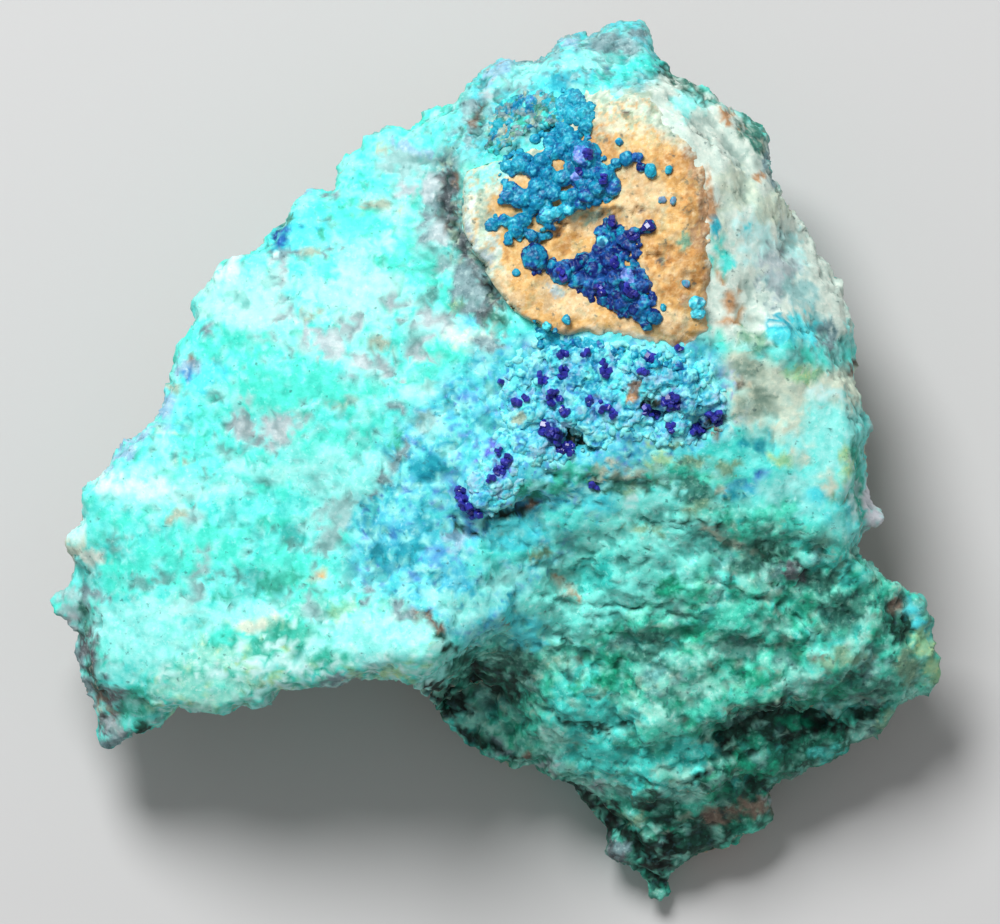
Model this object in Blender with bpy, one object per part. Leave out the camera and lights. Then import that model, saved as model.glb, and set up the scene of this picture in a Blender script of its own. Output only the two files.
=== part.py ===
"""A hand specimen of claraite and azurite on quartz matrix, lying on its broken back.

Three solids: the matrix rock with its ledges, cliffs and pits, the ochre crust on its crown that
carries round claraite spherules, and the thin crust of azurite crystals below it.
The display face looks up (+Z). The origin is at the middle of the outline, on the resting plane.
"""

import math

import bmesh
import bpy
import numpy as np
from mathutils import Vector, noise
from mathutils.bvhtree import BVHTree

# ---------------------------------------------------------------- driving dimensions, in metres
MM = 0.001
SPECIMEN_WIDTH = 55.3 * MM  # left tip to right lobe
REST_CUT = 0.25 * MM  # what is taken off the underside to leave one flat resting face
CRUST_GAP = 0.3 * MM  # clearance that keeps the crusts' solids off the rock's
OCHRE_THICKNESS = 0.9 * MM
AZURITE_THICKNESS = 0.5 * MM
ROCK_TRIANGLES = 6350
OCHRE_TRIANGLES = 2250
AZURITE_TRIANGLES = 1200

# Plan positions are stations on a square grid. The outline spans PLAN_SPAN stations from side to
# side, and PLAN_CENTRE is the station over the origin. Stations count to the right and down.
PLAN_SPAN = 885
PLAN_STEP = SPECIMEN_WIDTH / PLAN_SPAN
PLAN_CENTRE = (500, 462)

# ---------------------------------------------------------------- the broken outline, clockwise
OUTLINE = [
    # left tip and the leg below it
    (76, 487), (78, 506), (75, 525), (66, 533), (60, 544), (64, 557), (66, 570), (58, 588),
    (52, 598), (50, 611), (55, 626), (70, 640), (77, 661), (82, 680), (92, 699), (96, 726),
    (101, 742), (111, 753), (122, 755), (129, 748), (145, 741), (161, 731), (169, 719),
    # the bay under the turquoise face
    (187, 715), (222, 715), (238, 706), (262, 703), (285, 692), (317, 689), (337, 692),
    (354, 685), (378, 685), (397, 690), (418, 691), (427, 706), (436, 720),
    # down the left flank of the lower rock to its tip
    (447, 730), (471, 750), (486, 763), (503, 766), (511, 777), (541, 777), (557, 792),
    (571, 796), (586, 814), (595, 831), (607, 847), (611, 861), (621, 873), (634, 881),
    (643, 894), (648, 908), (658, 912), (668, 906), (676, 892),
    # up the right flank to the right lobe
    (678, 879), (696, 870), (711, 859), (729, 857), (745, 843), (768, 829), (780, 811),
    (784, 793), (804, 780), (821, 771), (843, 757), (867, 743), (879, 745), (900, 736),
    (909, 725), (913, 711), (923, 697), (936, 692), (942, 675), (939, 647), (934, 621),
    (914, 595), (893, 579), (871, 561), (866, 550),
    # the quartz tooth and the right side
    (868, 538), (882, 530), (891, 517), (882, 503), (878, 485), (875, 464), (869, 453),
    (875, 426), (871, 413), (866, 398), (866, 365), (858, 351), (857, 318), (851, 298),
    (838, 272), (815, 239), (798, 212), (788, 196), (778, 166), (772, 143), (765, 126),
    (738, 109), (719, 96), (699, 80), (675, 69), (660, 56),
    # the crown
    (652, 36), (646, 28), (636, 18), (626, 25), (602, 23), (587, 30), (578, 32), (568, 25),
    (556, 30), (547, 32), (546, 42), (520, 53), (510, 55), (493, 64), (476, 79), (463, 90),
    (457, 101),
    # down the ragged upper left side
    (444, 110), (430, 110), (422, 119), (410, 128), (398, 126), (384, 123), (369, 137),
    (363, 150), (348, 152), (341, 157), (338, 169), (327, 181), (303, 182), (295, 191),
    (285, 204), (280, 213), (265, 229), (254, 245), (234, 250), (222, 259), (212, 275),
    (201, 290), (190, 300), (192, 318), (183, 333), (165, 350), (165, 368), (158, 386),
    (151, 404), (142, 426), (123, 442), (107, 463), (91, 479),
]  # fmt: skip

# ---------------------------------------------------------------- spot heights of the display face
# Each spot is (station across, station down, height in millimetres).
FACE_SPOTS = {
    "turquoise face": [
        (80, 500, 13.0), (64, 545, 11.6), (62, 610, 10.6), (90, 680, 11.4), (110, 745, 9.2),
        (150, 700, 13.2), (130, 560, 14.4), (180, 420, 14.6), (160, 360, 13.4), (200, 700, 14.6),
        (240, 320, 15.8), (215, 270, 14.0), (280, 480, 17.0), (260, 600, 16.4), (300, 230, 15.4),
        (335, 180, 13.6), (380, 190, 15.4), (400, 135, 13.8), (360, 330, 18.2), (380, 450, 19.0),
        (390, 590, 18.6), (410, 684, 18.2), (310, 686, 16.8), (440, 560, 19.6), (430, 300, 18.4),
        (430, 220, 17.2), (470, 120, 15.8), (480, 85, 13.8), (260, 400, 16.8), (470, 610, 18.6),
        (452, 654, 19.0), (432, 676, 18.8), (496, 622, 17.8),
    ],
    "ochre crown": [
        (490, 200, 18.8), (500, 280, 19.8), (540, 310, 20.4), (520, 150, 18.6), (560, 110, 17.8),
        (560, 60, 15.4), (560, 32, 12.6), (635, 28, 12.0), (620, 60, 14.8), (590, 180, 19.4),
        (560, 240, 19.2), (650, 140, 20.4), (660, 260, 21.8), (690, 210, 21.6), (610, 290, 20.4),
        (690, 330, 21.4), (610, 230, 20.0), (640, 90, 18.0),
    ],
    "pale right slope": [
        (700, 90, 14.8), (740, 150, 16.8), (755, 220, 18.2), (790, 300, 17.6), (765, 135, 12.4),
        (795, 220, 14.0), (845, 300, 13.0), (840, 350, 15.6), (735, 290, 20.2),
    ],
    "crystal band": [
        (540, 380, 20.2), (600, 400, 20.8), (660, 390, 21.2), (480, 430, 20.0), (520, 480, 20.4),
        (600, 460, 20.4), (700, 440, 20.4), (430, 500, 19.8), (480, 545, 19.2), (560, 510, 19.0),
    ],
    "right shoulder": [
        (760, 340, 20.0), (800, 345, 19.4), (760, 400, 19.4), (825, 430, 18.2), (850, 480, 17.2),
        (800, 500, 17.8), (740, 480, 19.2), (852, 530, 16.0), (855, 400, 16.6), (885, 515, 14.6),
    ],
    "dark lower rock": [
        (620, 530, 18.0), (700, 530, 18.0), (780, 555, 17.0), (860, 580, 14.4), (912, 620, 11.4),
        (938, 670, 8.4), (560, 590, 15.8), (640, 620, 15.0), (720, 620, 15.2), (800, 640, 14.2),
        (870, 660, 12.0), (505, 665, 12.6), (455, 715, 8.6), (540, 700, 11.2), (620, 700, 12.0),
        (700, 695, 13.0), (780, 700, 12.2), (850, 705, 10.2), (905, 720, 7.6), (490, 755, 6.6),
        (560, 770, 7.8), (640, 770, 9.0), (710, 775, 9.2), (775, 765, 7.8), (840, 750, 6.6),
        (600, 825, 5.2), (650, 840, 5.6), (710, 835, 5.6), (770, 815, 5.2), (655, 895, 2.9),
    ],
}  # fmt: skip

# Spot heights of the underside. Where it would fall below the resting plane it is flat.
UNDERSIDE_SPOTS = [
    (500, 450, -3.0), (420, 390, -2.5), (600, 400, -3.0), (620, 560, -3.0), (520, 600, -1.6),
    (380, 520, -1.2), (560, 290, -2.0), (700, 480, -1.6), (640, 690, -1.4), (720, 740, -0.2),
    (250, 420, 2.0), (200, 560, 2.2), (330, 300, 3.0), (440, 190, 3.6), (620, 130, 2.4),
    (760, 270, 2.4), (800, 430, 2.6), (830, 620, 1.6), (300, 600, 2.6), (400, 640, 2.0),
    (80, 520, 7.0), (65, 610, 6.2), (110, 740, 5.0), (170, 712, 6.4), (240, 700, 7.2),
    (320, 688, 7.4), (416, 688, 5.4), (440, 726, 2.6), (510, 772, 2.0), (590, 818, 1.5),
    (655, 900, 0.9), (700, 866, 1.2), (780, 800, 2.2), (860, 743, 2.8), (935, 690, 4.6),
    (930, 612, 6.0), (870, 560, 7.2), (885, 512, 8.8), (868, 410, 8.2), (855, 320, 7.2),
    (800, 212, 7.2), (740, 112, 7.4), (640, 25, 7.6), (550, 40, 8.4), (480, 80, 9.0),
    (400, 130, 9.4), (330, 180, 9.6), (240, 250, 9.6), (165, 352, 9.2), (150, 405, 8.8),
    (90, 482, 7.6),
]  # fmt: skip

# Ledges: walking along the path, the high side is on the left. Lift and drop are the heights that
# the two sides gain and lose at the edge, and the reaches are how far that fades, all in mm.
LEDGES = [
    {"name": "cliff over the lower rock", "lift": 0.3, "drop": 5.0, "reach": (3.0, 3.2),
     "path": [(404, 700), (424, 690), (444, 680), (462, 666), (478, 648), (520, 634)]},
    {"name": "edge over the quartz tooth", "lift": 0.2, "drop": 4.2, "reach": (2.0, 4.0),
     "path": [(872, 566), (861, 545), (858, 520), (861, 480), (864, 440), (861, 395), (850, 330)]},
    {"name": "edge over the left flank", "lift": 0.3, "drop": 2.6, "reach": (2.0, 2.5),
     "path": [(76, 560), (86, 595), (88, 630), (86, 662), (98, 692), (130, 706), (172, 712)]},
    {"name": "azurite arc", "lift": 0.5, "drop": 1.1, "reach": (3.0, 2.2),
     "path": [(470, 455), (460, 478), (461, 500), (474, 518), (500, 524), (528, 508),
              (562, 492), (602, 484)]},
    {"name": "groove in the lower rock", "lift": 0.5, "drop": 1.7, "reach": (2.5, 2.0),
     "path": [(680, 742), (735, 724), (790, 717), (850, 705), (915, 700)]},
    {"name": "lowest cliff", "lift": 0.6, "drop": 1.6, "reach": (2.0, 2.5),
     "path": [(545, 785), (590, 796), (640, 812), (680, 800), (730, 786), (790, 776)]},
    {"name": "lip over the spherules", "lift": 0.8, "drop": 0.5, "reach": (2.0, 1.5),
     "path": [(500, 166), (520, 152), (536, 136), (562, 131), (580, 136)]},
    {"name": "lip over the bright bay", "lift": 0.2, "drop": 0.9, "reach": (2.0, 3.0),
     "path": [(560, 214), (545, 236), (560, 238), (580, 214), (625, 208)]},
    {"name": "crest of the lower rock", "lift": 0.3, "drop": 0.9, "reach": (1.8, 1.6),
     "path": [(720, 548), (760, 532), (810, 540), (850, 560), (895, 590)]},
    {"name": "upper step in the lower rock", "lift": 0.4, "drop": 0.9, "reach": (2.0, 1.6),
     "path": [(560, 640), (610, 622), (660, 640), (715, 632), (770, 650), (830, 640)]},
]  # fmt: skip

# Pits (negative) and lumps (positive): station across, station down, radius in stations, mm.
PITS_AND_LUMPS = [
    (574, 441, 12, -1.3), (655, 420, 12, -1.2), (704, 424, 13, -1.1), (484, 273, 10, -1.2),
    (505, 297, 9, -0.8), (440, 205, 14, -0.7), (460, 235, 12, -0.7), (535, 503, 13, -0.8),
    (790, 330, 24, 1.3), (838, 342, 18, 0.9), (735, 560, 22, -0.7), (885, 516, 12, 1.4),
    (610, 700, 20, -0.8), (560, 700, 18, 0.6), (655, 730, 22, 0.7), (800, 690, 18, 0.8),
    (380, 132, 16, 0.7), (250, 258, 16, 0.7), (566, 40, 12, 0.7), (634, 32, 12, 0.6),
    (120, 735, 12, 0.8), (70, 610, 14, 0.9), (900, 655, 16, 0.6), (700, 800, 22, 0.6),
    (470, 700, 14, -1.2), (600, 830, 18, -0.9), (735, 408, 14, 0.6), (520, 425, 16, 0.5),
]  # fmt: skip

# ---------------------------------------------------------------- the two crusts
OCHRE_EDGE = [
    (474, 176), (498, 164), (514, 162), (530, 148), (556, 140), (566, 118), (570, 92), (600, 82),
    (624, 90), (650, 98), (672, 128), (692, 146), (704, 170), (708, 205), (711, 245), (714, 285),
    (711, 322), (700, 344), (682, 354), (656, 346), (612, 338), (568, 337), (536, 327),
    (514, 308), (498, 286), (483, 260), (472, 232), (467, 204),
]  # fmt: skip
AZURITE_EDGE = [
    (512, 362), (545, 344), (600, 347), (660, 356), (692, 364), (724, 386), (727, 410),
    (714, 430), (690, 440), (650, 436), (612, 434), (586, 455), (560, 462), (532, 470),
    (514, 490), (500, 510), (478, 522), (461, 512), (456, 490), (468, 470), (494, 455),
    (514, 430), (505, 400),
]  # fmt: skip

# Spherules and crystal groups: station across, station down, radius in stations.
SPHERULES = [
    # the upper, teal cluster
    (586, 157, 15), (579, 176, 9), (606, 176, 10), (614, 188, 10), (598, 189, 9), (586, 196, 9),
    (575, 200, 8), (543, 158, 10), (560, 176, 12), (553, 192, 11), (536, 172, 9), (521, 167, 10),
    (508, 168, 8), (522, 184, 10), (538, 190, 11), (530, 204, 10), (516, 203, 9), (549, 217, 11),
    (566, 208, 9), (527, 219, 11), (518, 232, 10), (533, 234, 8), (504, 222, 7), (492, 226, 7),
    (560, 152, 9), (552, 145, 8), (570, 142, 9), (574, 118, 8), (585, 116, 10), (586, 128, 8),
    (575, 102, 8), (508, 243, 5),
    # the lower, bluer cluster
    (534, 260, 13), (560, 274, 12), (549, 266, 7), (574, 268, 9), (586, 262, 10), (580, 282, 9),
    (596, 272, 12), (611, 262, 11), (600, 253, 9), (604, 244, 9), (612, 224, 7), (602, 234, 7),
    (624, 240, 8), (634, 235, 6), (649, 228, 6), (616, 282, 12), (630, 278, 11), (643, 286, 10),
    (632, 292, 12), (618, 297, 10), (603, 289, 10), (590, 286, 9), (645, 305, 10), (655, 318, 8),
    (635, 311, 9), (622, 306, 9), (646, 326, 6), (604, 302, 7),
    # strays on the ochre
    (616, 164, 6), (626, 160, 8), (637, 158, 7), (641, 168, 5), (650, 174, 7), (668, 171, 4),
    (620, 143, 4), (695, 307, 8), (566, 320, 6),
]  # fmt: skip
CRYSTALS = [
    (542, 382, 8), (555, 399, 9), (562, 411, 6), (517, 403, 5), (591, 401, 5), (603, 408, 8),
    (613, 417, 6), (544, 427, 8), (550, 435, 7), (560, 445, 8), (570, 449, 7), (672, 402, 12),
    (642, 408, 7), (651, 413, 6), (668, 428, 6), (713, 417, 9), (698, 430, 8), (465, 492, 6),
    (463, 503, 7), (474, 513, 6), (502, 471, 8), (563, 354, 6), (565, 375, 8), (556, 390, 8),
    (642, 375, 7), (649, 360, 6), (680, 380, 7), (615, 370, 10), (590, 380, 9), (630, 395, 9),
    (660, 372, 9), (610, 352, 8), (700, 395, 9), (525, 440, 8), (535, 455, 8), (490, 490, 9),
]  # fmt: skip


# ---------------------------------------------------------------- helpers
def station(across, down):
    """A plan station as (x, y) in metres."""
    return (across - PLAN_CENTRE[0]) * PLAN_STEP, (PLAN_CENTRE[1] - down) * PLAN_STEP


def stations(points):
    return np.array([station(across, down) for across, down in points])


def thin_plate(spots):
    """A function that bends a thin plate through the spot heights, as metres in and out."""
    places = stations([spot[:2] for spot in spots])
    heights = np.array([spot[2] for spot in spots]) * MM
    count = len(spots)

    def kernel(distance):
        safe = np.maximum(distance / SPECIMEN_WIDTH, 1e-9)
        return safe**2 * np.log(safe)

    system = np.zeros((count + 3, count + 3))
    system[:count, :count] = kernel(np.linalg.norm(places[:, None] - places[None], axis=2))
    system[:count, count] = system[count, :count] = 1
    system[:count, count + 1 :] = places
    system[count + 1 :, :count] = places.T
    weights = np.linalg.solve(system, np.concatenate([heights, np.zeros(3)]))

    def height(xy):
        apart = np.linalg.norm(xy[:, None] - places[None], axis=2)
        return kernel(apart) @ weights[:count] + weights[count] + xy @ weights[count + 1 :]

    return height


def along_path(xy, path):
    """For each point: its distance to the path, which side it is on, and how far along it is."""
    ends = stations(path)
    runs = np.linalg.norm(np.diff(ends, axis=0), axis=1)
    whole = runs.sum()
    nearest = np.full(len(xy), 1e9)
    side = np.zeros(len(xy))
    share = np.zeros(len(xy))
    walked = 0.0
    for start, end, run in zip(ends[:-1], ends[1:], runs):
        step = (end - start) / run
        reach = np.clip((xy - start) @ step, 0, run)
        offset = xy - (start + reach[:, None] * step)
        distance = np.linalg.norm(offset, axis=1)
        closer = distance < nearest
        nearest[closer] = distance[closer]
        side[closer] = np.sign(step[0] * offset[:, 1] - step[1] * offset[:, 0])[closer]
        share[closer] = (walked + reach[closer]) / whole
        walked += run
    return nearest, side, share


def ledge_height(xy, ledge, edge_width=0.22 * MM):
    """What one ledge adds to the height, fading away from its edge and towards its two ends."""
    distance, side, share = along_path(xy, ledge["path"])
    high = 0.5 * (1 + np.tanh(side * distance / edge_width))
    reach_high, reach_low = (reach * MM for reach in ledge["reach"])
    lift = ledge["lift"] * MM * np.exp(-distance / reach_high)
    drop = ledge["drop"] * MM * np.exp(-distance / reach_low)
    return np.sqrt(np.sin(math.pi * np.clip(share, 0, 1))) * (high * lift - (1 - high) * drop)


def spot_relief(xy, spots):
    """The sum of round pits and lumps."""
    total = np.zeros(len(xy))
    for across, down, radius, height in spots:
        apart = np.linalg.norm(xy - np.array(station(across, down)), axis=1)
        total += height * MM * np.exp(-((apart / (radius * PLAN_STEP)) ** 2))
    return total


def roughness(point, size, seed):
    """Fractal noise, about -1 to 1, with lumps of the given size."""
    place = Vector(point) / size + Vector((seed, -seed, 2 * seed))
    return noise.fractal(place, 0.8, 2.1, 4)


def chips(point, size, seed):
    """Broken facets of the given size: each cell of the rock slopes its own way, about -1 to 1."""
    place = Vector(point) / size + Vector((2 * seed, seed, -seed))
    centre = noise.voronoi(place)[1][0]
    slope = noise.cell_vector(centre * 41.0) - Vector((0.5, 0.5, 0.5))
    return max(-1.0, min(1.0, 2.2 * (place - centre).dot(slope) + 0.6 * slope.z))


def new_object(name, bm):
    mesh = bpy.data.meshes.new(name)
    bm.to_mesh(mesh)
    bm.free()
    obj = bpy.data.objects.new(name, mesh)
    bpy.context.scene.collection.objects.link(obj)
    return obj


def apply_modifiers(obj):
    """Keeps what the modifiers make as the object's own mesh."""
    graph = bpy.context.evaluated_depsgraph_get()
    made = bpy.data.meshes.new_from_object(obj.evaluated_get(graph))
    obj.modifiers.clear()
    obj.data = made


def even_skin(obj, voxel):
    """Gives the object one closed skin of small, even faces."""
    remesh = obj.modifiers.new("Even skin", "REMESH")
    remesh.mode = "VOXEL"
    remesh.voxel_size = voxel
    apply_modifiers(obj)


def slim_down(obj, triangles):
    """Collapses edges until about this many triangles are left."""
    mesh = obj.data
    mesh.calc_loop_triangles()
    decimate = obj.modifiers.new("Fewer faces", "DECIMATE")
    decimate.ratio = min(1.0, triangles / len(mesh.loop_triangles))
    decimate.use_collapse_triangulate = True
    apply_modifiers(obj)


def vertex_array(mesh):
    co = np.empty(len(mesh.vertices) * 3, np.float32)
    mesh.vertices.foreach_get("co", co)
    return co.reshape(-1, 3).astype(float)


def set_vertices(mesh, co):
    mesh.vertices.foreach_set("co", co.astype(np.float32).ravel())
    mesh.update()


def vertex_normals(mesh):
    normals = np.empty(len(mesh.vertices) * 3, np.float32)
    mesh.vertex_normals.foreach_get("vector", normals)
    return normals.reshape(-1, 3).astype(float)


def finish(obj, colour, rough):
    """Gives the object its plain colour and shades it smooth except across sharp breaks."""
    material = bpy.data.materials.new(obj.name)
    material.use_nodes = True
    shader = material.node_tree.nodes["Principled BSDF"]
    shader.inputs["Base Color"].default_value = (*colour, 1)
    shader.inputs["Roughness"].default_value = rough
    shader.inputs["Metallic"].default_value = 0
    obj.data.materials.clear()
    obj.data.materials.append(material)
    obj.data.shade_smooth()
    obj.data.set_sharp_from_angle(angle=math.radians(40))


def slab(name, edge, thickness):
    """An upright slab with this plan outline, from z = 0 up."""
    bm = bmesh.new()
    corners = [bm.verts.new((x, y, 0)) for x, y in stations(edge)]
    floor = bm.faces.new(corners)
    raised = bmesh.ops.extrude_face_region(bm, geom=[floor])["geom"]
    lifted = [item for item in raised if isinstance(item, bmesh.types.BMVert)]
    bmesh.ops.translate(bm, verts=lifted, vec=(0, 0, thickness))
    bmesh.ops.triangulate(bm, faces=bm.faces[:])
    bmesh.ops.recalc_face_normals(bm, faces=bm.faces[:])
    return new_object(name, bm)


# ---------------------------------------------------------------- the matrix rock
BLANK_HEIGHT = 20 * MM
BLANK_VOXEL = 0.5 * MM
SKIN_VOXEL = 0.5 * MM
THINNEST = 1.2 * MM  # no edge of the stone is thinner than this
WIDEST_LEVEL = 0.65  # share of the side's height at which the outline is widest, on average
WIDEST_SWING = 0.3  # how far that level wanders up and down along the side
WANDER_LENGTH = 9 * MM  # and over what distance
SIDE_TAPER = 2.6 * MM  # how far the side draws in at the bottom from its widest level
TOP_BEVEL = 0.3 * MM  # and at the top
TOOTH_GAIN = 1.8  # the skin's even faces round the outline's teeth, so they are cut this deeper
TOOTH_ALLOWANCE = 0.997  # the deeper teeth also stand out further, so the blank starts a little smaller
# Facets and grains of the broken skin: size, depth and seed.
CHIPS = [(5.5 * MM, 0.75 * MM, 4.3), (2.4 * MM, 0.4 * MM, 8.9)]
GRAINS = [(3.0 * MM, 0.22 * MM, 11.7), (1.3 * MM, 0.12 * MM, 5.1)]
SMOOTH_SHARE = 0.22  # share of the facets' depth that is left on the bright face
SIDE_BITE = 0.25 * MM  # how much deeper the sides are chipped than the face
SIDE_BULGE = 0.1 * MM  # the most that a side may stand out past the outline
REST_KEPT = 0.6 * MM  # skin lower than this on the underside isn't roughened
CREST_BLEND = 5 * MM  # width over which the smooth face turns into the rugged lower rock
# The crest between the two, walked with the smooth face on the left.
LOWER_ROCK_CREST = [(380, 740), (440, 684), (500, 600), (580, 530), (700, 505), (860, 520),
                    (900, 460)]  # fmt: skip

face_plate = thin_plate([spot for group in FACE_SPOTS.values() for spot in group])
underside_plate = thin_plate(UNDERSIDE_SPOTS)


def face_height(xy):
    """The display face: a bent plate, with its ledges, pits and lumps."""
    ledges = sum(ledge_height(xy, ledge) for ledge in LEDGES)
    return face_plate(xy) + ledges + spot_relief(xy, PITS_AND_LUMPS)


def underside_height(xy):
    return np.maximum(underside_plate(xy), 0)


def deepen_teeth(edge):
    """Cuts the notches of an outline deeper and makes up for the width that this adds."""
    points = np.array(edge, float)
    mean = sum(np.roll(points, shift, axis=0) for shift in (-2, -1, 0, 1, 2)) / 5
    middle = np.array(PLAN_CENTRE)
    return middle + TOOTH_ALLOWANCE * (mean + TOOTH_GAIN * (points - mean) - middle)


def draw_in_sides(mesh, level):
    """Moves the side in below and above its widest level, so that it isn't a straight wall."""
    co, normals = vertex_array(mesh), vertex_normals(mesh)
    wander = np.array([roughness((x, y, 0), WANDER_LENGTH, 2.3) for x, y in co[:, :2]])
    widest = WIDEST_LEVEL + WIDEST_SWING * np.clip(wander, -1, 1)
    below = np.clip((widest - level) / widest, 0, 1)
    above = np.clip((level - widest) / (1 - widest), 0, 1)
    inset = SIDE_TAPER * below**1.5 * (1 + 0.5 * wander) + TOP_BEVEL * above**2
    co[:, :2] -= normals[:, :2] * inset[:, None]
    set_vertices(mesh, co)


def below_crest(xy):
    """Rises from 0 to 1 across the crest that parts the bright face from the lower rock."""
    distance, side, _ = along_path(xy, LOWER_ROCK_CREST)
    return np.clip(0.5 - side * distance / CREST_BLEND, 0, 1)


def weather(mesh):
    """Breaks the skin into facets and roughens it, least on the bright face.

    The sides are only chipped inwards, so that the outline keeps its shape.
    """
    co, normals = vertex_array(mesh), vertex_normals(mesh)
    upright = np.clip((0.85 - np.abs(normals[:, 2])) / 0.5, 0, 1)
    beneath = np.clip(-normals[:, 2] / 0.3, 0, 1)
    rugged = np.maximum(np.maximum(below_crest(co[:, :2]), upright), beneath)
    moved = np.zeros(len(co))
    for index, point in enumerate(co):
        broken = sum(depth * chips(point, size, seed) for size, depth, seed in CHIPS)
        rough = sum(depth * roughness(point, size, seed) for size, depth, seed in GRAINS)
        full = broken * (SMOOTH_SHARE + (1 - SMOOTH_SHARE) * rugged[index]) + rough
        inward = min(full - SIDE_BITE, SIDE_BULGE)
        moved[index] = full + (inward - full) * upright[index]
        if normals[index][2] < -0.3 and point[2] < REST_KEPT:
            moved[index] = 0  # the flat resting face stays as it parted
    co += normals * moved[:, None]
    co[:, 2] = np.maximum(co[:, 2], 0)
    set_vertices(mesh, co)


def cut_rest_face(obj):
    """Takes a thin slice off the underside, closes it with one flat face and stands it at z = 0."""
    bm = bmesh.new()
    bm.from_mesh(obj.data)
    everything = bm.verts[:] + bm.edges[:] + bm.faces[:]
    cut = bmesh.ops.bisect_plane(
        bm, geom=everything, plane_co=(0, 0, REST_CUT), plane_no=(0, 0, 1), clear_inner=True
    )
    rim = [item for item in cut["geom_cut"] if isinstance(item, bmesh.types.BMEdge)]
    bmesh.ops.holes_fill(bm, edges=rim, sides=0)
    bmesh.ops.triangulate(bm, faces=[face for face in bm.faces if len(face.verts) > 3])
    bmesh.ops.translate(bm, verts=bm.verts[:], vec=(0, 0, -REST_CUT))
    bm.to_mesh(obj.data)
    bm.free()


def keep_largest_body(obj):
    """Drops crumbs that the skin may leave beside the body."""
    bm = bmesh.new()
    bm.from_mesh(obj.data)
    left = set(bm.verts)
    bodies = []
    while left:
        body, front = set(), [left.pop()]
        while front:
            vert = front.pop()
            body.add(vert)
            for edge in vert.link_edges:
                other = edge.other_vert(vert)
                if other in left:
                    left.remove(other)
                    front.append(other)
        bodies.append(body)
    largest = max(bodies, key=len)
    crumbs = [vert for vert in bm.verts if vert not in largest]
    bmesh.ops.delete(bm, geom=crumbs, context="VERTS")
    bm.to_mesh(obj.data)
    bm.free()


def make_rock():
    """An upright blank, cut to its two surfaces, drawn in at the sides and weathered."""
    rock = slab("matrix_rock", deepen_teeth(OUTLINE), BLANK_HEIGHT)
    even_skin(rock, BLANK_VOXEL)
    co = vertex_array(rock.data)
    level = np.clip(co[:, 2] / BLANK_HEIGHT, 0, 1)
    low, high = underside_height(co[:, :2]), face_height(co[:, :2])
    draw_in_sides(rock.data, level)
    co = vertex_array(rock.data)
    co[:, 2] = low + level * np.maximum(high - low, THINNEST)
    set_vertices(rock.data, co)
    even_skin(rock, SKIN_VOXEL)
    weather(rock.data)
    even_skin(rock, SKIN_VOXEL)
    keep_largest_body(rock)
    slim_down(rock, ROCK_TRIANGLES)
    cut_rest_face(rock)
    finish(rock, (0.16, 0.62, 0.55), 0.7)
    return rock


# ---------------------------------------------------------------- the crusts
CRUST_VOXEL = 0.42 * MM
SPHERULE_RISE = 0.35  # a spherule's centre stands this share of its radius above the crust


def surface_of(obj):
    """A function that gives the height of the object's upper surface at a plan position."""
    tree = BVHTree.FromPolygons(
        [vert.co for vert in obj.data.vertices], [face.vertices for face in obj.data.polygons]
    )
    above = 60 * MM

    def height(x, y):
        hit = tree.ray_cast(Vector((x, y, above)), Vector((0, 0, -1)))[0]
        return hit.z if hit else None

    return height


def drape(obj, height):
    """Bends a flat slab on to the rock, with the crust gap below it."""
    co = vertex_array(obj.data)
    for point in co:
        floor = height(point[0], point[1])
        point[2] = (floor if floor is not None else 0) + CRUST_GAP + point[2]
    set_vertices(obj.data, co)


def stud(obj, height, places, thickness, subdivisions, turn_seed=None):
    """Joins round or blocky grains to the crust, each half sunk in it."""
    bm = bmesh.new()
    bm.from_mesh(obj.data)
    for index, (across, down, radius) in enumerate(places):
        x, y = station(across, down)
        size = radius * PLAN_STEP
        grain = bmesh.ops.create_icosphere(bm, subdivisions=subdivisions, radius=size)["verts"]
        if turn_seed is not None:
            turn = Vector((turn_seed + index, 2.0 * index, index - turn_seed)).normalized()
            rotation = turn.to_track_quat("Z", "Y").to_matrix()
            bmesh.ops.rotate(bm, verts=grain, cent=(0, 0, 0), matrix=rotation)
        bottom = height(x, y) + CRUST_GAP + thickness
        bmesh.ops.translate(bm, verts=grain, vec=(x, y, bottom + SPHERULE_RISE * size))
    bm.to_mesh(obj.data)
    bm.free()


def clear_of_rock(obj, height):
    """Lifts whatever reaches the rock until the crust gap is open under it."""
    co = vertex_array(obj.data)
    for point in co:
        floor = height(point[0], point[1])
        if floor is not None:
            point[2] = max(point[2], floor + CRUST_GAP)
    set_vertices(obj.data, co)


def make_crust(name, rock, edge, thickness, grains, triangles, colour, blocky):
    height = surface_of(rock)
    crust = slab(name, edge, thickness)
    even_skin(crust, CRUST_VOXEL)
    drape(crust, height)
    stud(crust, height, grains, thickness, 1 if blocky else 2, 5.0 if blocky else None)
    even_skin(crust, CRUST_VOXEL)
    keep_largest_body(crust)
    slim_down(crust, triangles)
    clear_of_rock(crust, height)
    finish(crust, colour, 0.5)
    return crust


def stand_over_origin(rock, objects):
    """Moves everything sideways so that the rock's outline is centred on the origin."""
    co = vertex_array(rock.data)
    middle = (co.min(axis=0) + co.max(axis=0)) / 2
    for obj in objects:
        set_vertices(obj.data, vertex_array(obj.data) - (middle[0], middle[1], 0))


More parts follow.
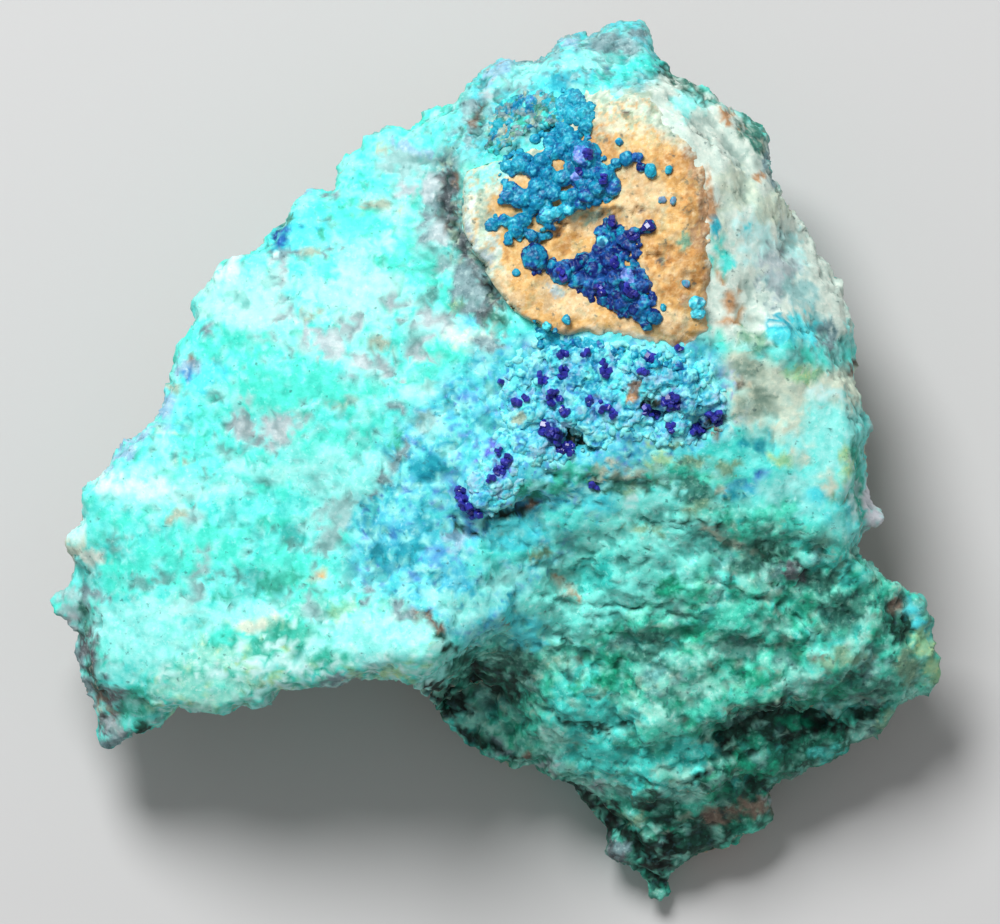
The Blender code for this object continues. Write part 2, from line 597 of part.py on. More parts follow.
def main():
    for obj in list(bpy.data.objects):
        bpy.data.objects.remove(obj)
    rock = make_rock()
    ochre = make_crust(
        "ochre_crust", rock, OCHRE_EDGE, OCHRE_THICKNESS, SPHERULES, OCHRE_TRIANGLES,
        (0.62, 0.36, 0.12), blocky=False,
    )  # fmt: skip
    azurite = make_crust(
        "azurite_crust", rock, AZURITE_EDGE, AZURITE_THICKNESS, CRYSTALS, AZURITE_TRIANGLES,
        (0.03, 0.03, 0.42), blocky=True,
    )  # fmt: skip
    stand_over_origin(rock, [rock, ochre, azurite])


main()
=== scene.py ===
# %% [markdown]
# # A broken stone of claraite and azurite
# The specimen lies on its back, and its display face looks up. A thin turquoise coating covers a
# quartz rock, an ochre crust with round blue grains sits on its crown, and dark blue crystals grow
# in a band below. Everything is in metres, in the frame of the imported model.

# %% Load the frame
import math
import random
import time

import bmesh
import bpy
import numpy as np
from mathutils import Matrix, Vector, noise
from mathutils.bvhtree import BVHTree
from mathutils.kdtree import KDTree


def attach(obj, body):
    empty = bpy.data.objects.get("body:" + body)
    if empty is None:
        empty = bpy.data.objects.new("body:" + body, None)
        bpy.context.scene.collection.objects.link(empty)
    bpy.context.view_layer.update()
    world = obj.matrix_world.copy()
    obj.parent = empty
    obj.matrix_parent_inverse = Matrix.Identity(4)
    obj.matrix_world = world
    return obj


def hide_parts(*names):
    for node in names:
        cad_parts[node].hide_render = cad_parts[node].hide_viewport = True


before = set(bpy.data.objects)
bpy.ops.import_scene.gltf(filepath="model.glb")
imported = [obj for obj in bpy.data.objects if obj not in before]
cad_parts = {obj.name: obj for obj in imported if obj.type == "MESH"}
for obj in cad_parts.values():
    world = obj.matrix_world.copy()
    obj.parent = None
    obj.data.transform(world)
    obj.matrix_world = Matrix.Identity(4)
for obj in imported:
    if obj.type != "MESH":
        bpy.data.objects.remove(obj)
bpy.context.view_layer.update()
started = time.time()
MM = 0.001


def tell(*words):
    print(*words, "after", round(time.time() - started), "s")


# %% [markdown]
# ## Where things are
# Places on the face are counted on a square grid of stations, 16 to the millimetre, to the right
# and down. Coordinates typed in metres would be exact too, but small whole numbers are easier to
# read off, to compare and to change.

# %% Stations
STATIONS_PER_MM = 16
OVER_ORIGIN = (500, 462)


def to_metres(across, down):
    """A station as x and y in metres."""
    return (
        (across - OVER_ORIGIN[0]) / STATIONS_PER_MM * MM,
        (OVER_ORIGIN[1] - down) / STATIONS_PER_MM * MM,
    )


def to_stations(co):
    """x and y of many points as stations."""
    plan = co[:, :2] / MM * STATIONS_PER_MM
    return np.column_stack([plan[:, 0] + OVER_ORIGIN[0], OVER_ORIGIN[1] - plan[:, 1]])


# %% [markdown]
# ## Finishes
# Each mineral has two tones that mix in fine grains, a fleck colour, the share of flecks, the share
# of dark specks, and how glassy it is. One table of finishes feeds one material, so a new patch
# needs only a name and a place. A material for each mineral would need a seam between them.

# %% Colours and finishes
def paint(code):
    """A colour code such as 5BFBE0 as the linear red, green and blue that a shader takes."""
    values = [int(code[i : i + 2], 16) / 255 for i in (0, 2, 4)]
    return [v / 12.92 if v <= 0.04045 else ((v + 0.055) / 1.055) ** 2.4 for v in values]


FINISHES = {
    "aqua": ("74F2EA", "44D8CE", "A2FAF2", 0.18, 0.14, 0.1),
    "pale aqua": ("A2F4EE", "7CE6DE", "C6FCF8", 0.22, 0.10, 0.15),
    "cyan": ("62ECF0", "44D4E2", "9AF8FC", 0.18, 0.12, 0.1),
    "green": ("5AF0DE", "3ED8C2", "8CF8EC", 0.15, 0.12, 0.1),
    "deep green": ("44C8B0", "2CA088", "74E0CC", 0.20, 0.20, 0.1),
    "white": ("D0F8F4", "B4F0EC", "E8FFFC", 0.25, 0.02, 0.3),
    "quartz": ("A0CECC", "86BAB8", "BCDCDA", 0.20, 0.10, 0.7),
    "pink quartz": ("B8CACC", "A0B8BC", "D2DCDC", 0.28, 0.08, 0.7),
    "beige": ("B0C4B0", "8CA898", "D0D8C0", 0.30, 0.25, 0.2),
    "cream": ("D6E4CE", "B8D0C0", "EAF0DC", 0.30, 0.12, 0.2),
    "pale slope": ("D8E8DC", "BCD4CA", "EEF4E8", 0.35, 0.14, 0.2),
    "blue": ("58AADA", "3A86C4", "3C70C0", 0.25, 0.20, 0.2),
    "lavender": ("A0CADC", "7AAECA", "C4E2F0", 0.30, 0.20, 0.2),
    "light blue": ("68D6E8", "38B4D2", "A4F0F8", 0.25, 0.16, 0.15),
    "teal": ("2CB4C4", "1890A8", "60D4E0", 0.20, 0.25, 0.3),
    "violet": ("6478DC", "3C50BC", "8CA0F4", 0.30, 0.15, 0.5),
    "grey": ("88A8AC", "608288", "ACCACA", 0.30, 0.35, 0.3),
    # dark and black mostly stand for painted shade and shadow in cracks, pits and under ledges
    "dark": ("1E5244", "0C2C24", "3E8474", 0.20, 0.40, 0.3),
    "black": ("06221A", "020A08", "123C30", 0.10, 0.40, 0.2),
    "rust": ("CCA27A", "AC8058", "E0C29E", 0.30, 0.20, 0.1),
    "brown": ("86786A", "5C5048", "ACA090", 0.30, 0.30, 0.1),
    "olive": ("88B89A", "60967C", "B0D4AC", 0.30, 0.30, 0.2),
    "yellow green": ("B0E4B4", "88C898", "D8E8A0", 0.30, 0.20, 0.3),
    "rock green": ("5CE6CA", "2CB69C", "90F6E2", 0.25, 0.28, 0.35),
    "rock teal": ("5CECE0", "30C6BC", "98FAF2", 0.25, 0.22, 0.35),
    "emerald": ("28BC94", "128468", "58D8B4", 0.20, 0.25, 0.4),
    "charcoal": ("46907E", "22645A", "80BCAC", 0.30, 0.35, 0.35),
    "pale rock": ("A4EEDC", "74DCCA", "D0FAF0", 0.30, 0.14, 0.5),
    "ochre": ("E2BA7A", "CE9E5C", "F2D6A4", 0.30, 0.25, 0.05),
    "pale ochre": ("E6CEA0", "D4B486", "F4E4C4", 0.30, 0.20, 0.05),
    "orange": ("D4A060", "B88044", "E8C088", 0.25, 0.25, 0.05),
    "back rock": ("B4AE9C", "8C9488", "D6D0C0", 0.35, 0.30, 0.3),
    "deep teal": ("0E86B0", "085E90", "30B0CC", 0.30, 0.12, 0.5),
    "sea": ("20ACC8", "1084A8", "60D8E4", 0.30, 0.10, 0.5),
    "bright cyan": ("60E0F0", "2CB8D4", "C0FAFF", 0.35, 0.05, 0.4),
    "cobalt": ("2466B0", "103E88", "5494D0", 0.35, 0.15, 0.5),
    "indigo": ("122C7C", "0A1650", "2C54A4", 0.30, 0.20, 0.5),
    "violet heart": ("8498E8", "2C68B8", "B0BCF8", 0.35, 0.10, 0.5),
    "grey grain": ("7C98B8", "6080A4", "A8BCD0", 0.3, 0.2, 0.3),
    "tooth": ("DCE0E8", "C2CAD4", "F4F4FA", 0.30, 0.02, 0.8),
    "dim quartz": ("78BCB6", "5CA29C", "9CD4CE", 0.20, 0.15, 0.6),
    "slate": ("6A7478", "363E42", "A4ACB0", 0.30, 0.30, 0.3),
    "milky": ("B0F0E8", "96E4DC", "CCF8F2", 0.22, 0.08, 0.3),
    "deep rock": ("20846C", "0C4638", "52B49C", 0.22, 0.35, 0.35),
    "pale teal": ("90FAEE", "62E2D4", "C2FEF8", 0.25, 0.16, 0.3),
}
FINISH_ROWS = {
    name: np.array([*paint(a), *paint(b), *paint(c), *rest])
    for name, (a, b, c, *rest) in FINISHES.items()
}
TONE_A, TONE_B, FLECK = slice(0, 3), slice(3, 6), slice(6, 9)  # columns of such a row
FLECK_SHARE, SPECK_SHARE, GLOSS = 9, 10, 11
print(len(FINISHES), "finishes")

# %% [markdown]
# ## Mesh helpers
# A voxel remesh gives a solid one even skin, and its vertices are then moved as a whole array. That
# is the quickest way to carve a stone: sculpting by hand can't be repeated, and a Displace modifier
# can't tell a ledge from a pit.

# %% Mesh helpers
def link(name, bm):
    mesh = bpy.data.meshes.new(name)
    bm.to_mesh(mesh)
    bm.free()
    obj = bpy.data.objects.new(name, mesh)
    bpy.context.scene.collection.objects.link(obj)
    return obj


def apply_modifiers(obj):
    graph = bpy.context.evaluated_depsgraph_get()
    made = bpy.data.meshes.new_from_object(obj.evaluated_get(graph))
    obj.modifiers.clear()
    obj.data = made


def even_skin(obj, voxel):
    """One closed skin of even faces, a voxel wide."""
    remesh = obj.modifiers.new("Even skin", "REMESH")
    remesh.mode = "VOXEL"
    remesh.voxel_size = voxel
    apply_modifiers(obj)


def smooth(bm, rounds, factor):
    for _ in range(rounds):
        bmesh.ops.smooth_vert(
            bm, verts=bm.verts, factor=factor, use_axis_x=True, use_axis_y=True, use_axis_z=True
        )


def relax(obj, rounds, factor=0.5):
    bm = bmesh.new()
    bm.from_mesh(obj.data)
    smooth(bm, rounds, factor)
    bm.to_mesh(obj.data)
    bm.free()


def places(obj):
    co = np.empty(len(obj.data.vertices) * 3, np.float32)
    obj.data.vertices.foreach_get("co", co)
    return co.reshape(-1, 3).astype(float)


def normals(obj):
    out = np.empty(len(obj.data.vertices) * 3, np.float32)
    obj.data.vertex_normals.foreach_get("vector", out)
    return out.reshape(-1, 3).astype(float)


def put(obj, co):
    obj.data.vertices.foreach_set("co", co.astype(np.float32).ravel())
    obj.data.update()


def grain(co, size, seed, octaves=3):
    """Fractal noise, about -1 to 1, with lumps of this many millimetres."""
    shift = Vector((seed, 2 * seed, -seed))
    return np.array(
        [noise.fractal(Vector(p) + shift, 0.8, 2.1, octaves) for p in co / (size * MM)]
    )


def chips(co, size, seed):
    """Broken facets of this many millimetres, each sloping its own way, -1 to 1."""
    shift = Vector((2 * seed, seed, -seed))
    out = np.empty(len(co))
    for index, point in enumerate(co / (size * MM)):
        place = Vector(point) + shift
        centre = noise.voronoi(place)[1][0]
        slope = noise.cell_vector(centre * 41.0) - Vector((0.5, 0.5, 0.5))
        out[index] = 2.2 * (place - centre).dot(slope) + 0.6 * slope.z
    return np.clip(out, -1, 1)


def knobs(co, size, seed):
    """Round knobs of this many millimetres that touch one another, 0 to 1."""
    shift = Vector((-seed, 2 * seed, seed))
    out = np.empty(len(co))
    for index, point in enumerate(co / (size * MM)):
        out[index] = noise.voronoi(Vector(point) + shift)[0][0]
    return np.sqrt(np.clip(1 - (out / 0.85) ** 2, 0, 1))


# %% [markdown]
# ## Zones and patches of mineral
# A zone is a polygon of stations and a patch an ellipse, each with a finish. Both have ragged
# borders, because the points are first pushed aside by noise, as a coating breaks off along grains.
# A picture could carry the pattern too, but a patch that is a line of text can be moved, and it
# stays sharp at any size.

# %% Zones
ZONES = [
    # finish, blur of the border in stations, corners
    ("light blue", 26, [(352, 520), (372, 455), (430, 400), (480, 352), (560, 330), (700, 346),
                        (742, 385), (736, 440), (660, 470), (590, 520), (560, 560), (520, 610),
                        (470, 640), (400, 600), (356, 580)]),
    ("aqua", 18, [(730, 440), (800, 400), (862, 410), (866, 500), (858, 545), (800, 505),
                  (740, 500), (640, 500), (620, 470)]),
    ("rock green", 20, [(424, 712), (446, 682), (474, 660), (500, 634), (530, 610), (545, 570),
                        (590, 540), (640, 510), (700, 500), (780, 515), (850, 545), (905, 585),
                        (980, 650), (960, 760), (780, 860), (660, 940), (580, 860), (480, 800)]),
    ("pale teal", 26, [(486, 640), (520, 590), (540, 560), (556, 520), (610, 494), (680, 500),
                       (724, 526), (716, 566), (664, 600), (600, 622), (560, 640), (520, 656)]),
    ("deep rock", 24, [(676, 770), (700, 728), (760, 706), (820, 700), (884, 690), (904, 716),
                       (850, 772), (800, 800), (770, 826), (716, 850), (664, 872), (640, 840)]),
    ("pale slope", 14, [(600, 86), (680, 74), (724, 98), (770, 140), (790, 196), (845, 270),
                        (862, 330), (850, 345), (800, 322), (770, 345), (730, 345), (688, 300),
                        (676, 190), (660, 140), (628, 98)]),
    ("cream", 16, [(735, 350), (790, 372), (830, 372), (866, 360), (870, 410), (790, 440),
                   (730, 430), (716, 380)]),
    ("cyan", 16, [(455, 110), (480, 70), (560, 24), (640, 12), (662, 66), (640, 92), (600, 84),
                  (566, 90), (552, 130), (510, 152), (480, 160), (440, 150)]),
]
TOOTH_PATCHES = [("tooth", 882, 512, 16, 26, -10), ("white", 886, 508, 5, 9, -20)]
PATCHES = [
    # finish, across, down, half width, half height, and the turn in degrees where it is turned
    # --- quartz that shows through the coating
    ("quartz", 403, 160, 26, 17, 5), ("lavender", 404, 147, 24, 5, 12),
    ("grey", 388, 142, 8, 3, 12), ("beige", 384, 150, 8, 4, 20), ("pink quartz", 276, 428, 31, 20),
    ("quartz", 305, 429, 12, 6), ("pink quartz", 240, 427, 12, 13),
    ("quartz", 332, 514, 17, 17, 25), ("quartz", 326, 536, 9, 16), ("quartz", 343, 500, 12, 12),
    ("pink quartz", 276, 280, 12, 24, 10), ("pink quartz", 272, 313, 26, 8, 12),
    ("grey", 284, 303, 12, 7, 25), ("white", 301, 321, 8, 5), ("beige", 314, 318, 13, 6, 5),
    ("quartz", 263, 338, 19, 11), ("pink quartz", 332, 343, 21, 17, -20),
    ("pink quartz", 306, 338, 3, 18, 5), ("milky", 355, 288, 50, 36, 5),
    ("milky", 240, 300, 40, 30), ("pale aqua", 372, 255, 26, 14), ("white", 396, 246, 12, 12),
    ("deep green", 389, 262, 13, 9, 25), ("deep green", 398, 256, 7, 12),
    ("white", 228, 271, 14, 10, -30), ("pale aqua", 137, 488, 50, 20, 8),
    ("white", 137, 488, 34, 11, 8), ("white", 112, 484, 16, 10), ("cream", 165, 431, 9, 5),
    ("beige", 185, 460, 11, 5, 10), ("beige", 174, 520, 10, 8), ("quartz", 194, 514, 10, 11),
    ("quartz", 208, 549, 12, 8), ("quartz", 202, 568, 7, 13), ("quartz", 201, 593, 6, 14),
    ("quartz", 185, 608, 13, 6), ("dim quartz", 158, 583, 36, 4, 2),
    ("dim quartz", 299, 548, 15, 4, 6), ("deep green", 222, 595, 11, 3, -4),
    ("quartz", 313, 608, 13, 11, 8), ("dim quartz", 313, 596, 9, 3), ("beige", 319, 574, 9, 8),
    ("ochre", 321, 577, 4, 4), ("pink quartz", 436, 324, 32, 12, 8), ("quartz", 464, 304, 12, 8),
    ("quartz", 427, 426, 12, 12), ("beige", 378, 346, 12, 7), ("pink quartz", 377, 367, 24, 7, 8),
    ("grey", 352, 377, 12, 4, 15), ("beige", 339, 401, 14, 7, 5), ("grey", 392, 405, 12, 6),
    ("grey", 332, 249, 12, 4, -8), ("grey", 329, 195, 11, 4, -10), ("beige", 376, 210, 26, 8, -8),
    ("beige", 366, 216, 8, 6), ("milky", 300, 470, 30, 12), ("pink quartz", 408, 190, 12, 8),
    ("quartz", 446, 268, 10, 8), ("pink quartz", 250, 398, 14, 6, 20),
    ("pink quartz", 394, 300, 14, 7, -10), ("milky", 200, 500, 34, 10, -5),
    ("pink quartz", 350, 322, 16, 6, -5), ("milky", 150, 610, 40, 12),
    ("pink quartz", 420, 352, 16, 7, 10), ("milky", 420, 390, 22, 12), ("quartz", 300, 352, 14, 5),
    # --- greens of the face
    ("green", 243, 352, 34, 20, 10), ("green", 278, 388, 42, 20, 8),
    ("green", 318, 384, 34, 20, 20), ("green", 368, 224, 26, 12, 10), ("green", 327, 268, 14, 9),
    ("green", 345, 206, 12, 12), ("deep green", 345, 206, 4, 5), ("green", 206, 536, 44, 12, -12),
    ("green", 158, 556, 26, 11, -18), ("green", 283, 571, 26, 22),
    ("deep green", 280, 580, 20, 11, -20), ("green", 128, 572, 22, 6, 5),
    ("green", 400, 256, 16, 22), ("green", 402, 332, 13, 7), ("green", 452, 308, 18, 5, 30),
    ("green", 420, 275, 20, 8, 20), ("deep green", 276, 629, 20, 10, -12),
    ("deep green", 224, 640, 17, 11), ("deep green", 138, 646, 17, 12, -20),
    ("green", 330, 455, 40, 26), ("green", 176, 333, 14, 10), ("cyan", 300, 232, 26, 16, 20),
    ("pale aqua", 340, 470, 56, 22), ("aqua", 250, 505, 60, 10), ("cyan", 170, 410, 20, 16, -40),
    ("cyan", 205, 375, 22, 14), ("pale aqua", 125, 625, 52, 22),
    ("pale aqua", 240, 618, 44, 14, -12), ("pale aqua", 378, 640, 50, 26),
    ("pale aqua", 250, 470, 34, 10), ("pale aqua", 340, 640, 40, 20, -10),
    ("pale aqua", 150, 652, 44, 14),
    # --- blues at the ragged upper left
    ("teal", 282, 238, 8, 14), ("cobalt", 281, 232, 5, 6), ("charcoal", 279, 217, 9, 7),
    ("grey", 284, 252, 15, 7), ("white", 277, 252, 4, 3), ("teal", 299, 227, 4, 4),
    ("teal", 311, 228, 3, 4), ("deep green", 319, 235, 4, 4), ("beige", 312, 250, 12, 5, 5),
    ("lavender", 190, 366, 14, 8, -30), ("blue", 189, 371, 5, 4), ("brown", 194, 356, 4, 4),
    ("lavender", 162, 412, 12, 16, 30), ("lavender", 138, 440, 22, 8, -42),
    ("lavender", 120, 456, 18, 7, -42), ("lavender", 126, 456, 8, 3, -42), ("grey", 207, 331, 8, 5),
    ("beige", 176, 393, 4, 8), ("lavender", 304, 188, 14, 5),
    # --- the lower edge of the face
    ("green", 232, 632, 26, 8, -10), ("deep green", 300, 638, 22, 8, -5),
    ("pale rock", 215, 660, 34, 10, -8), ("deep green", 205, 676, 14, 6),
    ("deep green", 330, 662, 20, 7), ("yellow green", 242, 658, 8, 4, 10),
    ("yellow green", 285, 651, 11, 4, -5), ("deep green", 262, 648, 14, 9, 20),
    ("white", 250, 667, 12, 5), ("cream", 262, 622, 22, 6, -12), ("white", 214, 676, 9, 5),
    ("white", 300, 664, 10, 5), ("olive", 254, 687, 18, 7, -20),
    ("yellow green", 274, 677, 12, 5, -25), ("pale rock", 222, 694, 34, 8, -20),
    ("grey", 342, 682, 18, 6), ("yellow green", 390, 675, 12, 4, 15),
    ("pale rock", 186, 690, 22, 12),
    # --- the left flank; its long slate, charcoal and dark streaks are painted shade
    ("quartz", 73, 608, 17, 22, 10), ("cream", 70, 545, 12, 18, 10), ("white", 76, 530, 7, 8),
    ("pale slope", 96, 558, 12, 8), ("grey", 86, 600, 5, 22, -12), ("grey", 76, 650, 14, 22),
    ("pink quartz", 70, 628, 7, 9), ("slate", 90, 640, 7, 30, -12),
    ("charcoal", 82, 614, 7, 20, -12), ("grey", 92, 690, 16, 20, -15),
    ("dark", 97, 680, 5, 20, -15), ("brown", 104, 702, 10, 9), ("slate", 118, 700, 10, 12),
    ("brown", 110, 722, 10, 12), ("beige", 104, 712, 8, 8), ("slate", 108, 726, 7, 14),
    ("grey", 116, 740, 12, 14), ("pink quartz", 112, 728, 7, 7),
    ("deep green", 136, 708, 15, 14, -25), ("dark", 141, 733, 10, 7, -35),
    ("quartz", 130, 742, 9, 8), ("grey", 100, 597, 8, 5),
    # --- by the ochre crust; the black and slate strokes by its rim are painted shadow under its lip
    ("grey", 428, 220, 8, 30, 10), ("pink quartz", 430, 190, 8, 14, 10),
    ("slate", 450, 196, 7, 20, 12), ("brown", 456, 184, 3, 8, 12), ("slate", 446, 184, 5, 12, 18),
    ("black", 455, 228, 3, 8, -10), ("slate", 460, 244, 6, 14, -14),
    ("pink quartz", 440, 236, 7, 14, -10), ("beige", 454, 240, 5, 6),
    ("slate", 474, 264, 6, 16, -35), ("black", 486, 283, 6, 14, -35), ("black", 478, 300, 8, 5, 20),
    ("slate", 484, 314, 22, 11, 20), ("charcoal", 500, 322, 14, 8, 20),
    ("grey", 470, 290, 16, 22, -20), ("light blue", 470, 322, 10, 6), ("beige", 452, 262, 5, 5),
    ("olive", 460, 306, 6, 4), ("grey", 464, 282, 14, 20, -20), ("pale slope", 470, 338, 24, 8),
    ("brown", 475, 119, 5, 17, 22), ("grey", 484, 344, 16, 8),
    # --- the blue band; its black spots and dark strokes in pits and cracks are painted shade
    ("light blue", 392, 536, 15, 12), ("blue", 390, 535, 6, 5), ("teal", 411, 548, 18, 10, -30),
    ("blue", 412, 572, 8, 5, -20), ("light blue", 452, 578, 14, 12), ("blue", 465, 540, 11, 10, 10),
    ("lavender", 458, 540, 10, 10), ("lavender", 470, 547, 5, 8, 10), ("cyan", 492, 550, 24, 14),
    ("teal", 425, 470, 15, 9, -30), ("pale aqua", 500, 580, 24, 14, -20),
    ("aqua", 520, 548, 22, 16), ("pale aqua", 470, 610, 26, 12, -30), ("aqua", 486, 560, 14, 20),
    ("pale aqua", 440, 600, 24, 10, 30), ("cyan", 524, 620, 20, 16), ("grey", 392, 470, 5, 32, 40),
    ("deep green", 394, 437, 8, 10, 20), ("grey", 364, 597, 4, 14, 15),
    ("brown", 424, 618, 24, 4, 32), ("dark", 445, 641, 9, 4, 45), ("grey", 404, 610, 14, 6, 20),
    ("violet", 500, 470, 10, 8, -30), ("violet", 486, 453, 5, 8, 30),
    ("cyan", 530, 640, 26, 12, -20), ("teal", 430, 520, 10, 16, -30), ("blue", 440, 556, 7, 8),
    ("teal", 380, 556, 12, 8), ("brown", 634, 392, 6, 12, 5), ("rust", 632, 399, 5, 5),
    ("black", 645, 402, 4, 6, 30), ("beige", 518, 418, 8, 6), ("brown", 714, 433, 7, 5),
    ("indigo", 671, 402, 12, 9), ("indigo", 553, 434, 15, 8, 35), ("indigo", 704, 425, 15, 7, -35),
    ("black", 576, 441, 12, 6, 30), ("black", 651, 403, 8, 5), ("black", 709, 423, 9, 5, -40),
    ("olive", 675, 447, 7, 5), ("yellow green", 656, 459, 11, 8), ("olive", 668, 478, 38, 8, -6),
    ("dark", 590, 478, 12, 5, 20), ("dark", 648, 486, 14, 5, -8), ("charcoal", 624, 484, 30, 9, -8),
    ("beige", 600, 474, 12, 4, 10), ("olive", 636, 492, 12, 4), ("deep green", 570, 474, 20, 7, 10),
    ("dark", 560, 482, 12, 3, 20), ("beige", 640, 470, 22, 7), ("cream", 612, 462, 8, 4),
    ("rock teal", 735, 452, 34, 18, 8), ("rock green", 700, 478, 50, 12, 8),
    ("charcoal", 696, 486, 30, 7, 4), ("olive", 690, 462, 18, 4, -8),
    ("beige", 720, 488, 12, 4, 10), ("charcoal", 700, 496, 34, 6, 8),
    ("black", 500, 518, 18, 5, -24), ("brown", 531, 505, 8, 6, -20), ("dark", 455, 524, 5, 4),
    ("violet", 461, 497, 6, 14, -8), ("violet", 470, 511, 8, 5, 35),
    ("deep green", 545, 486, 26, 8, -10), ("cyan", 600, 505, 22, 12), ("white", 630, 502, 5, 8, 20),
    ("cyan", 520, 534, 26, 14), ("aqua", 562, 518, 20, 12),
    # --- the right slope and shoulder
    ("dark", 662, 70, 20, 8, 30), ("charcoal", 690, 86, 26, 7, 30), ("rust", 727, 114, 7, 7, 30),
    ("rust", 757, 147, 4, 8, -30), ("rust", 742, 128, 4, 4), ("rust", 762, 176, 3, 5),
    ("rust", 744, 214, 3, 3), ("charcoal", 756, 136, 12, 26, -32), ("grey", 772, 170, 9, 24, -20),
    ("rust", 712, 205, 5, 40, -2), ("ochre", 716, 250, 4, 16), ("cyan", 722, 262, 6, 8),
    ("pale slope", 724, 180, 8, 20), ("cream", 722, 226, 6, 12), ("rust", 720, 276, 4, 8),
    ("rust", 733, 304, 8, 14, -8), ("rust", 731, 322, 7, 5), ("white", 756, 238, 20, 30, 10),
    ("white", 790, 250, 12, 22, -10), ("cream", 772, 208, 16, 14), ("cyan", 750, 228, 5, 4),
    ("cyan", 768, 280, 12, 7), ("rock teal", 718, 252, 7, 22, -8), ("teal", 716, 228, 5, 7),
    ("pink quartz", 776, 275, 22, 26, -20), ("pale aqua", 690, 104, 18, 12, 20),
    ("cream", 738, 190, 18, 24, -20), ("rust", 752, 178, 5, 4), ("quartz", 800, 290, 18, 14, 40),
    ("charcoal", 764, 340, 20, 9, -10), ("olive", 750, 336, 14, 10), ("cyan", 798, 330, 26, 16, -8),
    ("teal", 782, 322, 12, 9), ("grey", 828, 334, 14, 12), ("pale aqua", 852, 338, 8, 14),
    ("brown", 742, 384, 6, 10), ("beige", 750, 370, 12, 14), ("rust", 752, 392, 6, 6),
    ("beige", 755, 400, 16, 14), ("cream", 790, 414, 20, 18), ("yellow green", 806, 374, 16, 6, 10),
    ("olive", 818, 376, 8, 6), ("brown", 854, 367, 10, 6, 20), ("pale aqua", 828, 440, 30, 40),
    ("white", 820, 396, 14, 8, 20), ("aqua", 775, 470, 40, 22), ("blue", 764, 476, 7, 4, 20),
    ("cobalt", 760, 474, 3, 2), ("light blue", 743, 487, 14, 7),
    ("blue", 748, 484, 4, 3), ("teal", 736, 498, 8, 4, 10), ("yellow green", 782, 462, 9, 6, 30),
    ("cream", 800, 452, 12, 10), ("olive", 722, 468, 14, 8, -20), ("pale aqua", 790, 486, 26, 14),
    ("yellow green", 846, 470, 7, 24), ("cream", 824, 486, 10, 12), ("cyan", 812, 500, 14, 10),
    ("teal", 752, 446, 12, 6, 20), ("rock green", 778, 508, 26, 8),
    ("deep green", 858, 478, 5, 44, -2), ("pale aqua", 867, 408, 6, 20),
    ("quartz", 872, 428, 7, 10), *TOOTH_PATCHES,
    ("olive", 841, 496, 8, 6), ("white", 852, 500, 3, 30, -4),
    # --- the crown
    ("lavender", 570, 46, 10, 5), ("grey", 613, 46, 21, 13, 10), ("grey", 640, 36, 9, 7),
    ("violet", 610, 67, 8, 3), ("rock teal", 625, 68, 30, 10, -10),
    ("lavender", 500, 72, 16, 5, -35), ("grey", 470, 100, 16, 6, -35),
    ("pink quartz", 486, 92, 8, 5, -35), ("cyan", 545, 90, 20, 12), ("grey", 530, 64, 14, 5, -30),
    ("beige", 505, 130, 14, 12), ("rust", 503, 128, 6, 6), ("deep green", 519, 122, 9, 12),
    ("beige", 548, 118, 12, 8), ("grey", 538, 112, 16, 10), ("teal", 560, 84, 12, 10),
    ("beige", 640, 96, 14, 6), ("pale aqua", 588, 60, 30, 10, -5),
    ("pale aqua", 520, 78, 24, 8, -30),
    # --- the lower rock; most black and dark patches are painted shadow under the face's edge, along the ledges and on the bottom edges
    ("charcoal", 766, 549, 22, 12, 10), ("charcoal", 744, 572, 16, 10), ("dark", 766, 550, 9, 6),
    ("charcoal", 823, 584, 18, 14, 30), ("slate", 794, 568, 14, 9, 20),
    ("emerald", 672, 586, 12, 10), ("olive", 539, 554, 8, 5), ("rock green", 650, 745, 34, 18),
    ("rust", 557, 583, 10, 9, 20), ("rust", 576, 597, 9, 5, 30), ("beige", 560, 590, 16, 12, 30),
    ("pale teal", 540, 600, 22, 16), ("pale teal", 600, 610, 30, 14),
    ("pale teal", 566, 636, 24, 12), ("rock teal", 593, 574, 22, 16), ("brown", 506, 622, 6, 4),
    ("charcoal", 650, 645, 24, 18), ("emerald", 697, 633, 18, 9), ("emerald", 612, 674, 12, 20, 20),
    ("charcoal", 467, 668, 22, 14, -20), ("black", 450, 702, 26, 16, 20),
    ("dark", 486, 672, 20, 10, 20), ("charcoal", 510, 660, 24, 10, 10),
    ("pale rock", 488, 656, 8, 5), ("dark", 516, 676, 9, 6), ("black", 438, 694, 16, 12),
    ("pale rock", 478, 722, 22, 8, 20), ("black", 470, 738, 14, 6, 35),
    ("olive", 838, 658, 26, 9, 5), ("brown", 818, 652, 10, 3), ("pale rock", 801, 680, 18, 7, -5),
    ("pale rock", 765, 622, 24, 9, 20), ("charcoal", 850, 612, 22, 20, 20),
    ("rock green", 733, 619, 30, 18), ("brown", 898, 604, 9, 10), ("dark", 902, 630, 11, 14),
    ("cyan", 920, 620, 8, 18, -30), ("yellow green", 924, 645, 12, 10),
    ("yellow green", 932, 674, 10, 14), ("olive", 910, 668, 10, 16),
    ("pale rock", 913, 701, 13, 11, -20), ("olive", 890, 722, 18, 8, -20),
    ("charcoal", 880, 690, 16, 8), ("black", 770, 713, 30, 8, -8), ("dark", 800, 724, 50, 12, -4),
    ("black", 826, 728, 26, 8, 8), ("dark", 735, 732, 20, 9, -30), ("black", 724, 748, 10, 5, -30),
    ("emerald", 756, 676, 24, 9), ("black", 790, 738, 14, 4), ("dark", 860, 716, 20, 8, -10),
    ("deep rock", 780, 762, 40, 16, -25), ("deep rock", 830, 742, 30, 12, -20),
